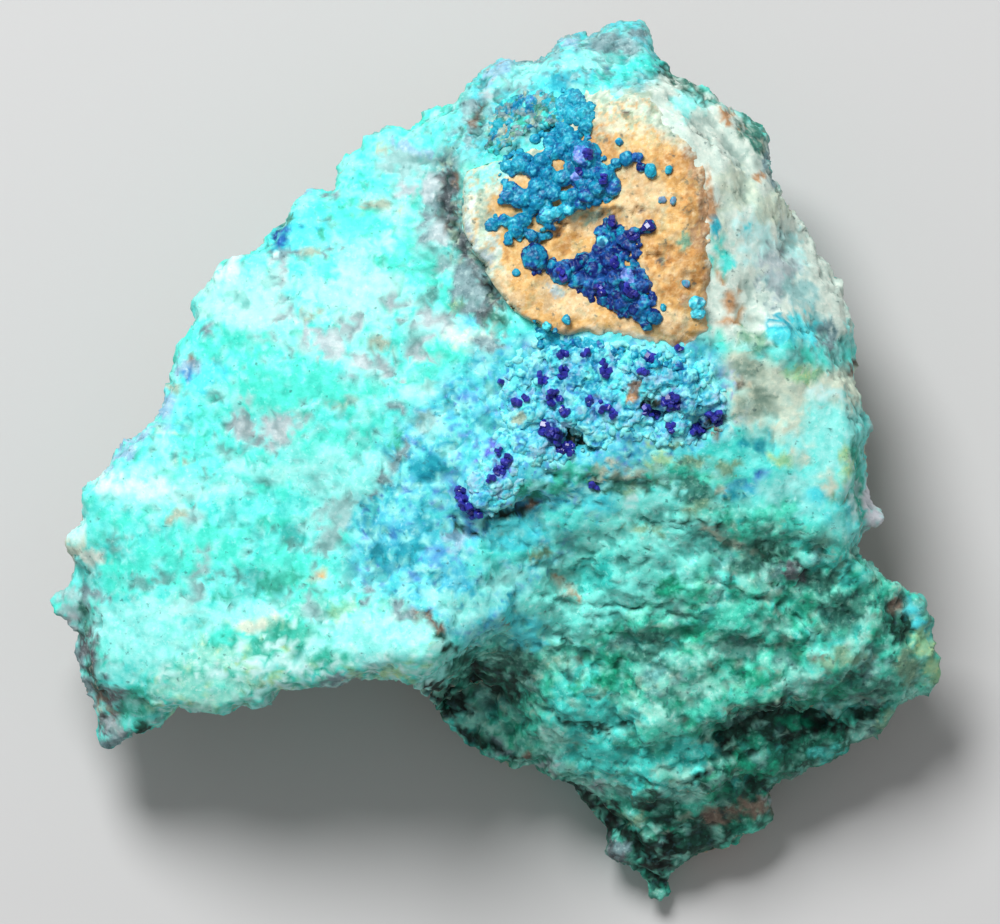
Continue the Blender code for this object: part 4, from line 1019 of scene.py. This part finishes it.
def heights(tree, co):
    """Height of a surface straight below each point, or 0 beside it."""
    hits = [hit_below(tree, x, y)[0] for x, y in co[:, :2]]
    return np.array([hit.z if hit is not None else 0 for hit in hits])


def spots(at, listed, soft=0.5):
    """Sum of low mounds and hollows, in millimetres."""
    out = np.zeros(len(at))
    for *ellipse, rise in listed:
        out += rise * blend_step((1 + soft - ellipse_distance(at, *ellipse)) / (2 * soft))
    return out


bm = bmesh.new()
bm.faces.new([bm.verts.new((*to_metres(*corner), 0)) for corner in OCHRE_EDGE])
raised = bmesh.ops.extrude_face_region(bm, geom=bm.faces[:])["geom"]
bmesh.ops.translate(
    bm, verts=[v for v in raised if isinstance(v, bmesh.types.BMVert)], vec=(0, 0, MM)
)
bmesh.ops.recalc_face_normals(bm, faces=bm.faces)
ochre = link("ochre_layer", bm)
even_skin(ochre, OCHRE_SKIN)
relax(ochre, 2)
rock_tree = surface_of(rock)
co = places(ochre)
at = to_stations(co) + stretch(co, 8, 1.4, 12.0) + stretch(co, 4, 0.5, 14.0)
share = np.clip(co[:, 2] / MM, 0, 1)
within = polygon_depth(at, OCHRE_EDGE)
inside = np.maximum(within, 0)
rim = np.exp(-((path_distance(at, OCHRE_RIM) / OCHRE_RIM_WIDTH) ** 2))
thickness = 0.50 + 0.50 * rim
thickness *= np.sqrt(np.clip(inside / (4 + 22 * (1 - rim)), 0.0, 1))
sand = 0.07 * grain(co, 0.35, 5.0, 3) + 0.05 * (knobs(co, 0.5, 4.0) - 0.6)
ragged = 0.12 * grain(co, 0.9, 3.0, 4) + sand + 0.12 * chips(co, 1.3, 6.0)
crown = np.maximum(thickness + ragged + spots(at, OCHRE_HOLLOWS), 0.06)
fading = (1 - rim) * (1 - blend_step(inside / 12))
crown -= fading * (0.14 + 0.12 * grain(co, 0.8, 8.0, 4))
crown -= 0.35 * blend_step((1.5 - within) / 3)
ground = heights(rock_tree, co)
co[:, 2] = ground - OCHRE_SINK + share * (OCHRE_SINK + MM * crown)
put(ochre, co)
relax(ochre, 1, 0.3)
co, up = places(ochre), normals(ochre)
rows = np.tile(FINISH_ROWS["ochre"], (len(co), 1))
at = to_stations(co) + stretch(co, 4, 1.0, 22.0) + stretch(co, 2, 0.3, 25.0)
sandy, sandy_fine = grain(co, 0.7, 19.0, 4), grain(co, 0.32, 20.0, 4)
wash(rows, 1, [
    (grain(co, 1.8, 15.0, 4), 0.05, 0.3, 0.8, "pale ochre"),
    (grain(co, 1.1, 18.0, 4), 0.25, 0.2, 0.8, "orange"),
])
rim = np.exp(-((path_distance(at, OCHRE_RIM) / OCHRE_RIM_WIDTH) ** 2))
inside = polygon_depth(at, OCHRE_EDGE) + 7 * grain(co, 0.9, 28.0, 4)
lay(rows, (1 - rim) * blend_step((12 - inside) / 10) * 0.8, "pale slope")
toward_top = blend_step((160 - at[:, 1]) / 50)
lay(rows, toward_top * blend_step((22 - inside) / 16) * 0.9, "pale slope")
lay_patches(rows, at, OCHRE_PATCHES, sandy + 0.6 * sandy_fine)
wash(rows, toward_top, [
    (sandy, -0.02, 0.2, 0.8, "cream"), (-sandy, 0.12, 0.15, 0.7, "beige"),
    (sandy_fine, 0.25, 0.15, 0.6, "pale aqua"),
])
wash(rows, 1, [
    (sandy_fine, 0.12, 0.3, 0.35, "pale ochre"), (-sandy_fine, 0.25, 0.2, 0.22, "brown"),
    (-sandy, 0.30, 0.15, 0.25, "olive"),
])
lay(rows, blend_step((0.45 - up[:, 2]) / 0.3) * 0.7, "cream")
# Tone of the clay's hollows: dirt mixed with painted shade.
CLAY_DIRT_AND_SHADE = (0.30, 0.20, 0.10, 1)
clay = mineral_material(
    "iron-stained clay", grain_mm=0.25, dirt_and_shade=0.45, roughness=0.9, hollow_tone=CLAY_DIRT_AND_SHADE
)
dress(ochre, rows, clay, "ochre_crust", 14)

# %% [markdown]
# ## Grapes of claraite
# Claraite grew here as little balls, called spherules, that run together like grapes. A ball for
# each is easy, but the balls would cross with hard creases. So all the balls of one cluster are
# fused by an even skin and then roughened, which also makes each crease a small dark valley.

# %% Spherule clusters
GRAIN_SKIN = 0.075 * MM
TEAL_CLUSTER = [
    (562, 88), (580, 90), (586, 100), (598, 108), (594, 120), (586, 132), (602, 150), (612, 170),
    (620, 190), (612, 203), (598, 205), (575, 212), (560, 222), (548, 240), (522, 243), (497, 238),
    (487, 222), (500, 210), (497, 200), (505, 190), (497, 168), (500, 160), (520, 150), (535, 135),
    (556, 125), (553, 105),
]
BLUE_CLUSTER = [
    (520, 250), (540, 250), (556, 262), (575, 258), (590, 253), (600, 235), (605, 218), (618, 222),
    (640, 230), (645, 245), (635, 262), (650, 280), (655, 300), (658, 318), (648, 330), (630, 320),
    (610, 312), (590, 302), (572, 290), (555, 275), (530, 275),
]
OCHRE_FOOT = [
    (532, 318), (548, 322), (560, 334), (590, 337), (620, 345), (650, 351), (684, 358), (688, 372),
    (650, 368), (630, 372), (600, 358), (570, 364), (548, 356), (534, 340),
]
GRAPE_GAPS = [
    # station across, station down, half width, half height of bare crust between the grains
    (537, 150, 15, 8), (557, 167, 9, 6), (523, 181, 12, 8), (568, 190, 13, 7), (511, 211, 15, 9),
    (594, 196, 7, 4), (560, 204, 10, 6), (604, 292, 7, 4), (548, 288, 12, 8), (582, 274, 5, 4),
    (534, 226, 10, 5), (500, 232, 9, 6), (548, 180, 6, 4),
]
LIP = [
    (486, 150), (488, 124), (504, 102), (526, 92), (548, 92), (562, 104), (572, 118), (562, 132),
    (542, 126), (524, 132), (508, 148), (496, 158),
]
LARGE_GRAINS = [
    # station across, station down, radius in stations, finish
    (586, 157, 14, "violet heart"), (579, 176, 8, "violet heart"), (606, 176, 10, "deep teal"),
    (614, 188, 9, "cobalt"), (598, 189, 9, "deep teal"), (586, 196, 8, "cobalt"),
    (580, 203, 7, "cobalt"), (541, 163, 8, "deep teal"), (563, 178, 10, "deep teal"),
    (553, 194, 8, "deep teal"), (534, 171, 8, "deep teal"), (521, 166, 9, "sea"),
    (508, 168, 8, "sea"), (536, 188, 9, "deep teal"), (537, 202, 9, "deep teal"),
    (526, 200, 7, "deep teal"), (508, 197, 7, "deep teal"), (549, 217, 9, "bright cyan"),
    (557, 214, 7, "bright cyan"), (568, 210, 7, "bright cyan"), (522, 221, 8, "deep teal"),
    (516, 232, 8, "deep teal"), (531, 237, 7, "deep teal"), (504, 222, 7, "deep teal"),
    (492, 226, 7, "deep teal"), (560, 152, 9, "deep teal"), (552, 145, 8, "deep teal"),
    (570, 142, 9, "sea"), (574, 118, 8, "sea"), (585, 116, 9, "sea"), (586, 128, 8, "deep teal"),
    (575, 102, 8, "deep teal"), (508, 243, 5, "deep teal"), (532, 103, 6, "violet heart"),
    (534, 260, 13, "deep teal"), (560, 274, 11, "cobalt"), (549, 266, 7, "deep teal"),
    (574, 268, 9, "indigo"), (586, 262, 10, "indigo"), (580, 282, 9, "cobalt"),
    (596, 272, 11, "indigo"), (611, 262, 11, "cobalt"), (600, 253, 9, "indigo"),
    (604, 244, 9, "bright cyan"), (612, 224, 6, "indigo"), (602, 234, 7, "cobalt"),
    (624, 240, 8, "cobalt"), (634, 235, 6, "indigo"), (649, 228, 7, "indigo"),
    (643, 232, 5, "indigo"), (616, 282, 11, "cobalt"), (630, 278, 10, "violet heart"),
    (643, 286, 9, "cobalt"), (632, 292, 11, "indigo"), (618, 297, 9, "indigo"),
    (603, 289, 9, "indigo"), (590, 286, 8, "cobalt"), (645, 305, 9, "cobalt"),
    (655, 318, 8, "deep teal"), (635, 311, 8, "indigo"), (622, 306, 8, "cobalt"),
    (646, 326, 6, "indigo"), (604, 302, 6, "deep teal"), (616, 164, 6, "deep teal"),
    (626, 160, 7, "deep teal"), (637, 158, 6, "cobalt"), (641, 168, 5, "indigo"),
    (650, 173, 7, "sea"), (668, 171, 4, "sea"), (620, 143, 4, "deep teal"),
    (695, 304, 8, "bright cyan"), (697, 313, 7, "bright cyan"), (566, 320, 5, "sea"),
    (661, 201, 4, "grey grain"), (672, 202, 4, "grey grain"), (685, 284, 4, "grey grain"),
    (516, 274, 4, "sea"), (663, 308, 4, "sea"),
]


TRIES_PER_GRAIN = 30


def fill_cluster(
    polygon, count, smallest, largest, finishes, seed, taken=(), spacing=0.55, edge=0.55
):
    """Packs more grains into a polygon wherever there is room between those that are taken."""
    chance = random.Random(seed)
    corners = np.array(polygon, float)
    low, high = corners.min(axis=0), corners.max(axis=0)
    tries = np.array([
        (chance.uniform(low[0], high[0]), chance.uniform(low[1], high[1]),
         chance.uniform(smallest, largest))
        for _ in range(TRIES_PER_GRAIN * count)
    ])
    depth = polygon_depth(tries[:, :2], polygon)
    for gap in GRAPE_GAPS:
        depth[ellipse_distance(tries[:, :2], *gap) < 1] = -1
    added = []
    for (across, down, radius), inside in zip(tries.tolist(), depth):
        radius *= min(1, edge + inside / 40)
        if inside < radius * 0.3 or len(added) == count:
            continue
        others = [*taken, *added]
        if all(math.hypot(across - x, down - y) > spacing * (radius + r) for x, y, r, _ in others):
            added.append((across, down, radius, chance.choice(finishes)))
    return added


def grow_grains(
    name, grains, tree, skin, rise=0.3, flatten=0.8, bumpy=0.03, knobby=(), seed=1, warp=0.04,
    shore=None,
):
    """Fuses grains that sit on a surface into one skin and gives each its own finish.

    Near the edge of the outline named shore the grains are sunk, so that the crowd dies out.
    """
    chance = random.Random(seed)
    bm = bmesh.new()
    centres = []
    sunk = np.zeros(len(grains))
    if shore:
        depth = polygon_depth(np.array([grain_at[:2] for grain_at in grains], float), shore)
        sunk = 0.4 * (1 - blend_step(depth / 36))
    for (across, down, radius, _), sink in zip(grains, sunk.tolist()):
        x, y = to_metres(across, down)
        size = radius / STATIONS_PER_MM * MM
        hit, facing = hit_below(tree, x, y)
        centre = hit + (facing + Vector((0, 0, 1))).normalized() * size * (rise - sink)
        rounds = 3 if radius > 6 else 2
        ball = bmesh.ops.create_icosphere(bm, subdivisions=rounds, radius=size)["verts"]
        turn = Matrix.Rotation(chance.uniform(0, math.tau), 3, "Z")
        widths = Matrix.Diagonal((chance.uniform(0.85, 1.15), chance.uniform(0.85, 1.15), flatten))
        bmesh.ops.transform(bm, matrix=(turn @ widths).to_4x4(), verts=ball)
        bmesh.ops.translate(bm, verts=ball, vec=centre)
        centres.append(centre)
    obj = link(name, bm)
    even_skin(obj, skin)
    relax(obj, 1)
    co, up = places(obj), normals(obj)
    co += warp * MM * np.column_stack([grain(co, 0.55, seed + side) for side in (41, 43, 47)])
    relief = bumpy * (grain(co, 0.35, seed, 3) + 0.6 * grain(co, 0.16, seed + 5, 2))
    for size, height in knobby:
        relief += height * (knobs(co, size, seed) - 0.6)
    put(obj, co + up * relief[:, None] * MM)
    co = places(obj)
    near = KDTree(len(centres))
    for index, centre in enumerate(centres):
        near.insert(centre, index)
    near.balance()
    owner = np.array([near.find(point)[1] for point in co])
    table = np.array([FINISH_ROWS[finish] for *_, finish in grains])
    return obj, co, table[owner]


class Ground:
    """Several surfaces that answer as one, by the uppermost."""

    def __init__(self, *trees):
        self.trees = list(trees)

    def ray_cast(self, start, way):
        hits = [tree.ray_cast(start, way) for tree in self.trees]
        return max((hit for hit in hits if hit[0] is not None), key=lambda hit: hit[0].z)


ground = Ground(rock_tree, surface_of(ochre))
# Tone of the creases between grapes: dirt mixed with painted shade.
SEA_DIRT_AND_SHADE = (0.04, 0.26, 0.42, 1)
berries = mineral_material(
    "claraite grapes", grain_mm=0.2, dirt_and_shade=0.85, bump_mm=0.025, roughness=0.55, hollow_tone=SEA_DIRT_AND_SHADE
)
CLUSTERS = [
    # outline, grains, smallest and largest radius, finishes
    (TEAL_CLUSTER, 190, 3, 8, ["deep teal"] * 6 + ["sea"] * 2 + ["cobalt"]),
    (BLUE_CLUSTER, 130, 3, 8, ["indigo"] * 6 + ["cobalt"] * 3 + ["deep teal"] * 2),
    (OCHRE_FOOT, 90, 2.5, 7.5, ["deep teal"] * 3 + ["sea"] * 5 + ["cyan", "teal", "cobalt"]),
]
LIP_MIX = [
    "beige", "olive", "teal", "grey", "sea", "rock teal", "charcoal", "charcoal", "deep teal",
]
grapes = list(LARGE_GRAINS)
for seed, (outline, count, smallest, largest, mix) in enumerate(CLUSTERS, 11):
    grapes += fill_cluster(outline, count, smallest, largest, mix, seed, grapes, spacing=0.48)
obj, co, rows = grow_grains(
    "claraite_grapes", grapes, ground, GRAIN_SKIN, rise=0.4, bumpy=0.035,
    knobby=[(0.28, 0.07)], seed=3, warp=0.09,
)
mottle = grain(co, 0.6, 31.0, 3)
toward_top = blend_step((140 - to_stations(co)[:, 1]) / 20)
wash(rows, toward_top, [(mottle, -0.2, 0.3, 0.7, "teal"), (-mottle, 0.1, 0.3, 0.6, "cyan")])
wash(rows, 1, [(mottle, 0.25, 0.2, 0.7, "sea"), (-mottle, 0.35, 0.2, 0.6, "indigo")])
in_blue = zone_share(co, BLUE_CLUSTER, 16)
wash(rows, 1 - 0.8 * in_blue, [(grain(co, 0.25, 32.0, 3), 0.3, 0.2, 0.6, "bright cyan")])
wash(rows, in_blue, [(-mottle, -0.05, 0.3, 0.6, "indigo")])
dress(obj, rows, berries, "ochre_crust", 20)
print(len(grapes), "grapes")

lip = fill_cluster(LIP, 110, 4, 9, LIP_MIX, seed=14, spacing=0.5)
obj, co, rows = grow_grains(
    "claraite_lip", lip, ground, 0.085 * MM, rise=0.05, flatten=0.6, bumpy=0.06,
    knobby=[(0.4, 0.12), (0.22, 0.07)], seed=5, warp=0.14, shore=LIP,
)
mottle = grain(co, 0.5, 51.0, 4)
wash(rows, 1, [(mottle, 0.15, 0.2, 0.8, "grey"), (-mottle, 0.15, 0.2, 0.8, "teal")])
dress(obj, rows, berries, None, 16)

# %% [markdown]
# ## Blue lumps in the band
# Below the ochre the coating is a crowd of cyan lumps like a cauliflower: large low heads that
# carry smaller and smaller knobs. The heads are packed by the same rule as the grapes and fused in
# the same way, sunk deeper, and the knobs come from the distance to the centres of small cells.

# %% Blue lumps
LUMP_BAND = [
    (505, 366), (526, 342), (552, 332), (600, 338), (660, 346), (700, 354), (722, 382), (728, 408),
    (722, 430), (700, 444), (655, 446), (618, 440), (600, 452), (575, 462), (556, 468), (530, 478),
    (516, 496), (498, 512), (476, 520), (462, 505), (460, 486), (478, 462), (494, 440), (500, 405),
]
CRYSTAL_GROUPS = [
    # station across, station down, spread in stations, crystals
    (562, 353, 5, 4), (541, 380, 8, 6), (563, 373, 7, 6), (554, 398, 10, 10), (562, 411, 6, 5),
    (516, 402, 4, 3), (526, 398, 3, 2), (591, 401, 4, 3), (602, 407, 8, 7), (612, 414, 5, 4),
    (649, 358, 7, 7), (643, 375, 7, 6), (602, 364, 5, 4), (679, 350, 4, 3), (671, 402, 13, 18),
    (645, 409, 7, 6), (653, 414, 6, 5), (670, 428, 6, 5), (714, 418, 11, 13), (697, 430, 9, 10),
    (545, 428, 9, 10), (552, 435, 9, 10), (562, 445, 10, 12), (568, 449, 8, 7), (461, 492, 7, 8),
    (463, 501, 7, 8), (468, 508, 6, 6), (476, 514, 6, 5), (505, 464, 6, 5), (499, 470, 5, 4),
    (510, 458, 4, 3), (593, 486, 4, 3), (500, 382, 3, 1), (586, 354, 4, 3), (606, 372, 4, 3),
    (500, 452, 5, 3), (490, 478, 6, 4),
]
LUMP_MIX = ["light blue"] * 5 + ["cyan"] * 3 + ["aqua"] * 2 + ["pale aqua"] + ["sea"] * 2
LUMP_MIX += ["blue", "teal"]
lumps = fill_cluster(LUMP_BAND, 130, 6, 15, LUMP_MIX, seed=21, spacing=0.5, edge=0.3)
lumps += fill_cluster(
    LUMP_BAND, 200, 3, 5.5, LUMP_MIX, seed=22, taken=lumps, spacing=0.65, edge=0.5
)
obj, co, rows = grow_grains(
    "cyan_lumps", lumps, rock_tree, 0.09 * MM, rise=0.06, flatten=0.6, bumpy=0.06,
    knobby=[(1.2, 0.24), (0.5, 0.08)], seed=7, warp=0.14, shore=LUMP_BAND,
)
clouds, crumbs = grain(co, 1.1, 35.0, 4), grain(co, 0.5, 36.0, 4)
depth = cavity_of(obj, 14)
wash(rows, 1, [
    (clouds, 0.15, 0.25, 0.8, "light blue"), (-clouds, 0.15, 0.25, 0.7, "cyan"),
    (clouds + crumbs, 0.35, 0.2, 0.8, "lavender"), (crumbs - clouds, 0.35, 0.2, 0.8, "pale aqua"),
    (-crumbs, 0.25, 0.2, 0.8, "sea"), (-crumbs - clouds, 0.55, 0.2, 0.7, "deep teal"),
    # paler on the heads' tops and deep teal in the hollows between them: painted highlight and
    # painted shade
    (-depth, 0.1, 1, 0.6, "pale aqua"), (depth * 0.8, 0.1, 1, 0.9, "deep teal"),
])
at = to_stations(co) + stretch(co, 4, 0.8, 37.0)
around = [np.hypot(*(at - (x, y)).T) / (spread + 5) for x, y, spread, _ in CRYSTAL_GROUPS]
halo = np.exp(-(np.min(around, axis=0) ** 2))
wash(rows, halo, [(crumbs, -0.1, 0.3, 0.55, "violet"), (-crumbs, 0.1, 0.3, 0.5, "deep teal")])
lay_patches(rows, at, PATCHES, crumbs)
# Tone of the gaps between the heads: dirt mixed with painted shade.
LUMP_DIRT_AND_SHADE = (0.04, 0.30, 0.42, 1)
heads = mineral_material(
    "claraite heads", grain_mm=0.25, dirt_and_shade=0.6, roughness=0.6, hollow_tone=LUMP_DIRT_AND_SHADE
)
dress(obj, rows, heads, "azurite_crust", 14)
print(len(lumps), "lumps")

# %% [markdown]
# ## Azurite crystals
# Azurite crystals are short, glossy, nearly black-blue blocks that stand among the lumps in little
# rosettes: the blocks of one rosette spread from a centre like petals. A bevelled cube, sheared a
# little, has the shape; a few dozen faces each are enough, since they are half a millimetre long.

# %% Azurite crystals
OCHRE_CRYSTALS = [
    (586, 156, 5, 5), (604, 180, 5, 4), (612, 222, 5, 5), (648, 228, 6, 6), (634, 235, 6, 5),
    (631, 291, 9, 10), (561, 275, 6, 4), (616, 262, 6, 4), (600, 290, 6, 5), (578, 172, 4, 3),
]
CRYSTAL_SIZE = (5.5, 9.5)  # length in stations
PETAL_LEAN = 0.9  # radians, at the rim of a rosette


def add_crystal(bm, place, length, turn, chance):
    sides = bmesh.ops.create_cube(bm, size=1)["verts"]
    edges = list({edge for vert in sides for edge in vert.link_edges})
    bevelled = bmesh.ops.bevel(
        bm, geom=edges, offset=0.16, offset_type="OFFSET", segments=1, profile=0.5,
        affect="EDGES", material=-1,
    )["verts"]
    block = list({v for vert in bevelled for face in vert.link_faces for v in face.verts})
    shape = Matrix.Diagonal(
        (length * chance.uniform(0.5, 0.8), length * chance.uniform(0.6, 0.9), length)
    )
    lean_x, lean_y = chance.uniform(-0.3, 0.3), chance.uniform(-0.2, 0.2)
    shear = Matrix(((1, 0, lean_x), (0, 1, lean_y), (0, 0, 1)))
    spin = Matrix.Rotation(chance.uniform(0, math.tau), 3, "Z")
    bmesh.ops.transform(bm, matrix=(turn @ spin @ shear @ shape).to_4x4(), verts=block)
    bmesh.ops.translate(bm, verts=block, vec=place)


def crystal_group(bm, tree, group, chance):
    across, down, spread, count = group
    for _ in range(count):
        angle, share = chance.uniform(0, math.tau), math.sqrt(chance.random())
        out = 0.62 * spread * share
        x, y = to_metres(across + out * math.cos(angle), down - out * math.sin(angle))
        length = chance.uniform(*CRYSTAL_SIZE) / STATIONS_PER_MM * MM
        hit = hit_below(tree, x, y)[0]
        turn = Matrix.Rotation(angle, 3, "Z") @ Matrix.Rotation(PETAL_LEAN * share, 3, "Y")
        add_crystal(bm, hit, length, turn, chance)


chance = random.Random(5)
bm = bmesh.new()
ground.trees += [surface_of(obj), surface_of(bpy.data.objects["claraite_grapes"])]
for group in CRYSTAL_GROUPS + OCHRE_CRYSTALS:
    crystal_group(bm, ground, group, chance)
crystals = link("azurite_crystals", bm)
DEEP_BLUE, EDGE_BLUE = (0.008, 0.010, 0.18, 1), (0.028, 0.032, 0.42, 1)
azurite = Shade("azurite")
depth = azurite.noise(1 / (0.5 * MM), 3, 0.6)
azurite.feed(azurite.surface, {
    "Base Color": azurite.mix(steep(depth, 0.42, 0.2), DEEP_BLUE, EDGE_BLUE),
    "Roughness": 0.3 + steep(depth, 0.5, 0.3) * 0.2,
    "IOR": 1.73,
    "Specular IOR Level": 0.35,
})
hand_over(crystals, azurite.material, "azurite_crust")

# %% [markdown]
# ## Floor, light and camera
# The stone lies on a plain pale floor. A large lamp from above the crown throws the lower rock into
# shade, as in a cabinet lit from the back, and a weak sky fills the shadows. The camera looks
# straight down from far off, so that the outline isn't widened by perspective.

# %% Stage
FLOOR_SIZE, FLOOR_TONE = 0.6, (0.55, 0.55, 0.55, 1)
LAMP_FROM, LAMP_WIDTH, LAMP_WATTS = Vector((-0.15, 0.35, 0.49)), 0.26, 4.5
SKY_STRENGTH = 0.33
bm = bmesh.new()
bmesh.ops.create_grid(bm, x_segments=1, y_segments=1, size=FLOOR_SIZE)
floor = link("floor", bm)
floor_shade = Shade("pale floor")
floor_shade.feed(floor_shade.surface, {"Base Color": FLOOR_TONE, "Roughness": 0.9})
floor.data.materials.append(floor_shade.material)

lamp = bpy.data.lights.new("window", "AREA")
lamp.shape = "DISK"
lamp.size = LAMP_WIDTH
lamp.energy = LAMP_WATTS
lamp_holder = bpy.data.objects.new("window", lamp)
bpy.context.scene.collection.objects.link(lamp_holder)
lamp_holder.location = LAMP_FROM
lamp_holder.rotation_euler = LAMP_FROM.to_track_quat("Z", "Y").to_euler()

world = bpy.data.worlds.new("studio")
bpy.context.scene.world = world
world.use_nodes = True
sky = world.node_tree.nodes["Background"].inputs
sky["Color"].default_value = (1.0, 1.0, 1.0, 1)
sky["Strength"].default_value = SKY_STRENGTH
bpy.context.scene.view_settings.view_transform = "Standard"

IMAGE_WIDTH = 1000 / STATIONS_PER_MM * MM
FACE_LEVEL = 12 * MM
CAMERA_RISE = 2.5
camera = bpy.data.cameras.new("camera")
camera.lens = camera.sensor_width * CAMERA_RISE / IMAGE_WIDTH
camera.clip_start, camera.clip_end = 0.05, 5
camera_holder = bpy.data.objects.new("camera", camera)
bpy.context.scene.collection.objects.link(camera_holder)
camera_holder.location = (0, 0, FACE_LEVEL + CAMERA_RISE)
bpy.context.scene.camera = camera_holder
print("lens", round(camera.lens), "mm")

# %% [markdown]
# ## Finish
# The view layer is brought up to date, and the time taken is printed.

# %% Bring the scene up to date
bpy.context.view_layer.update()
tell("made")
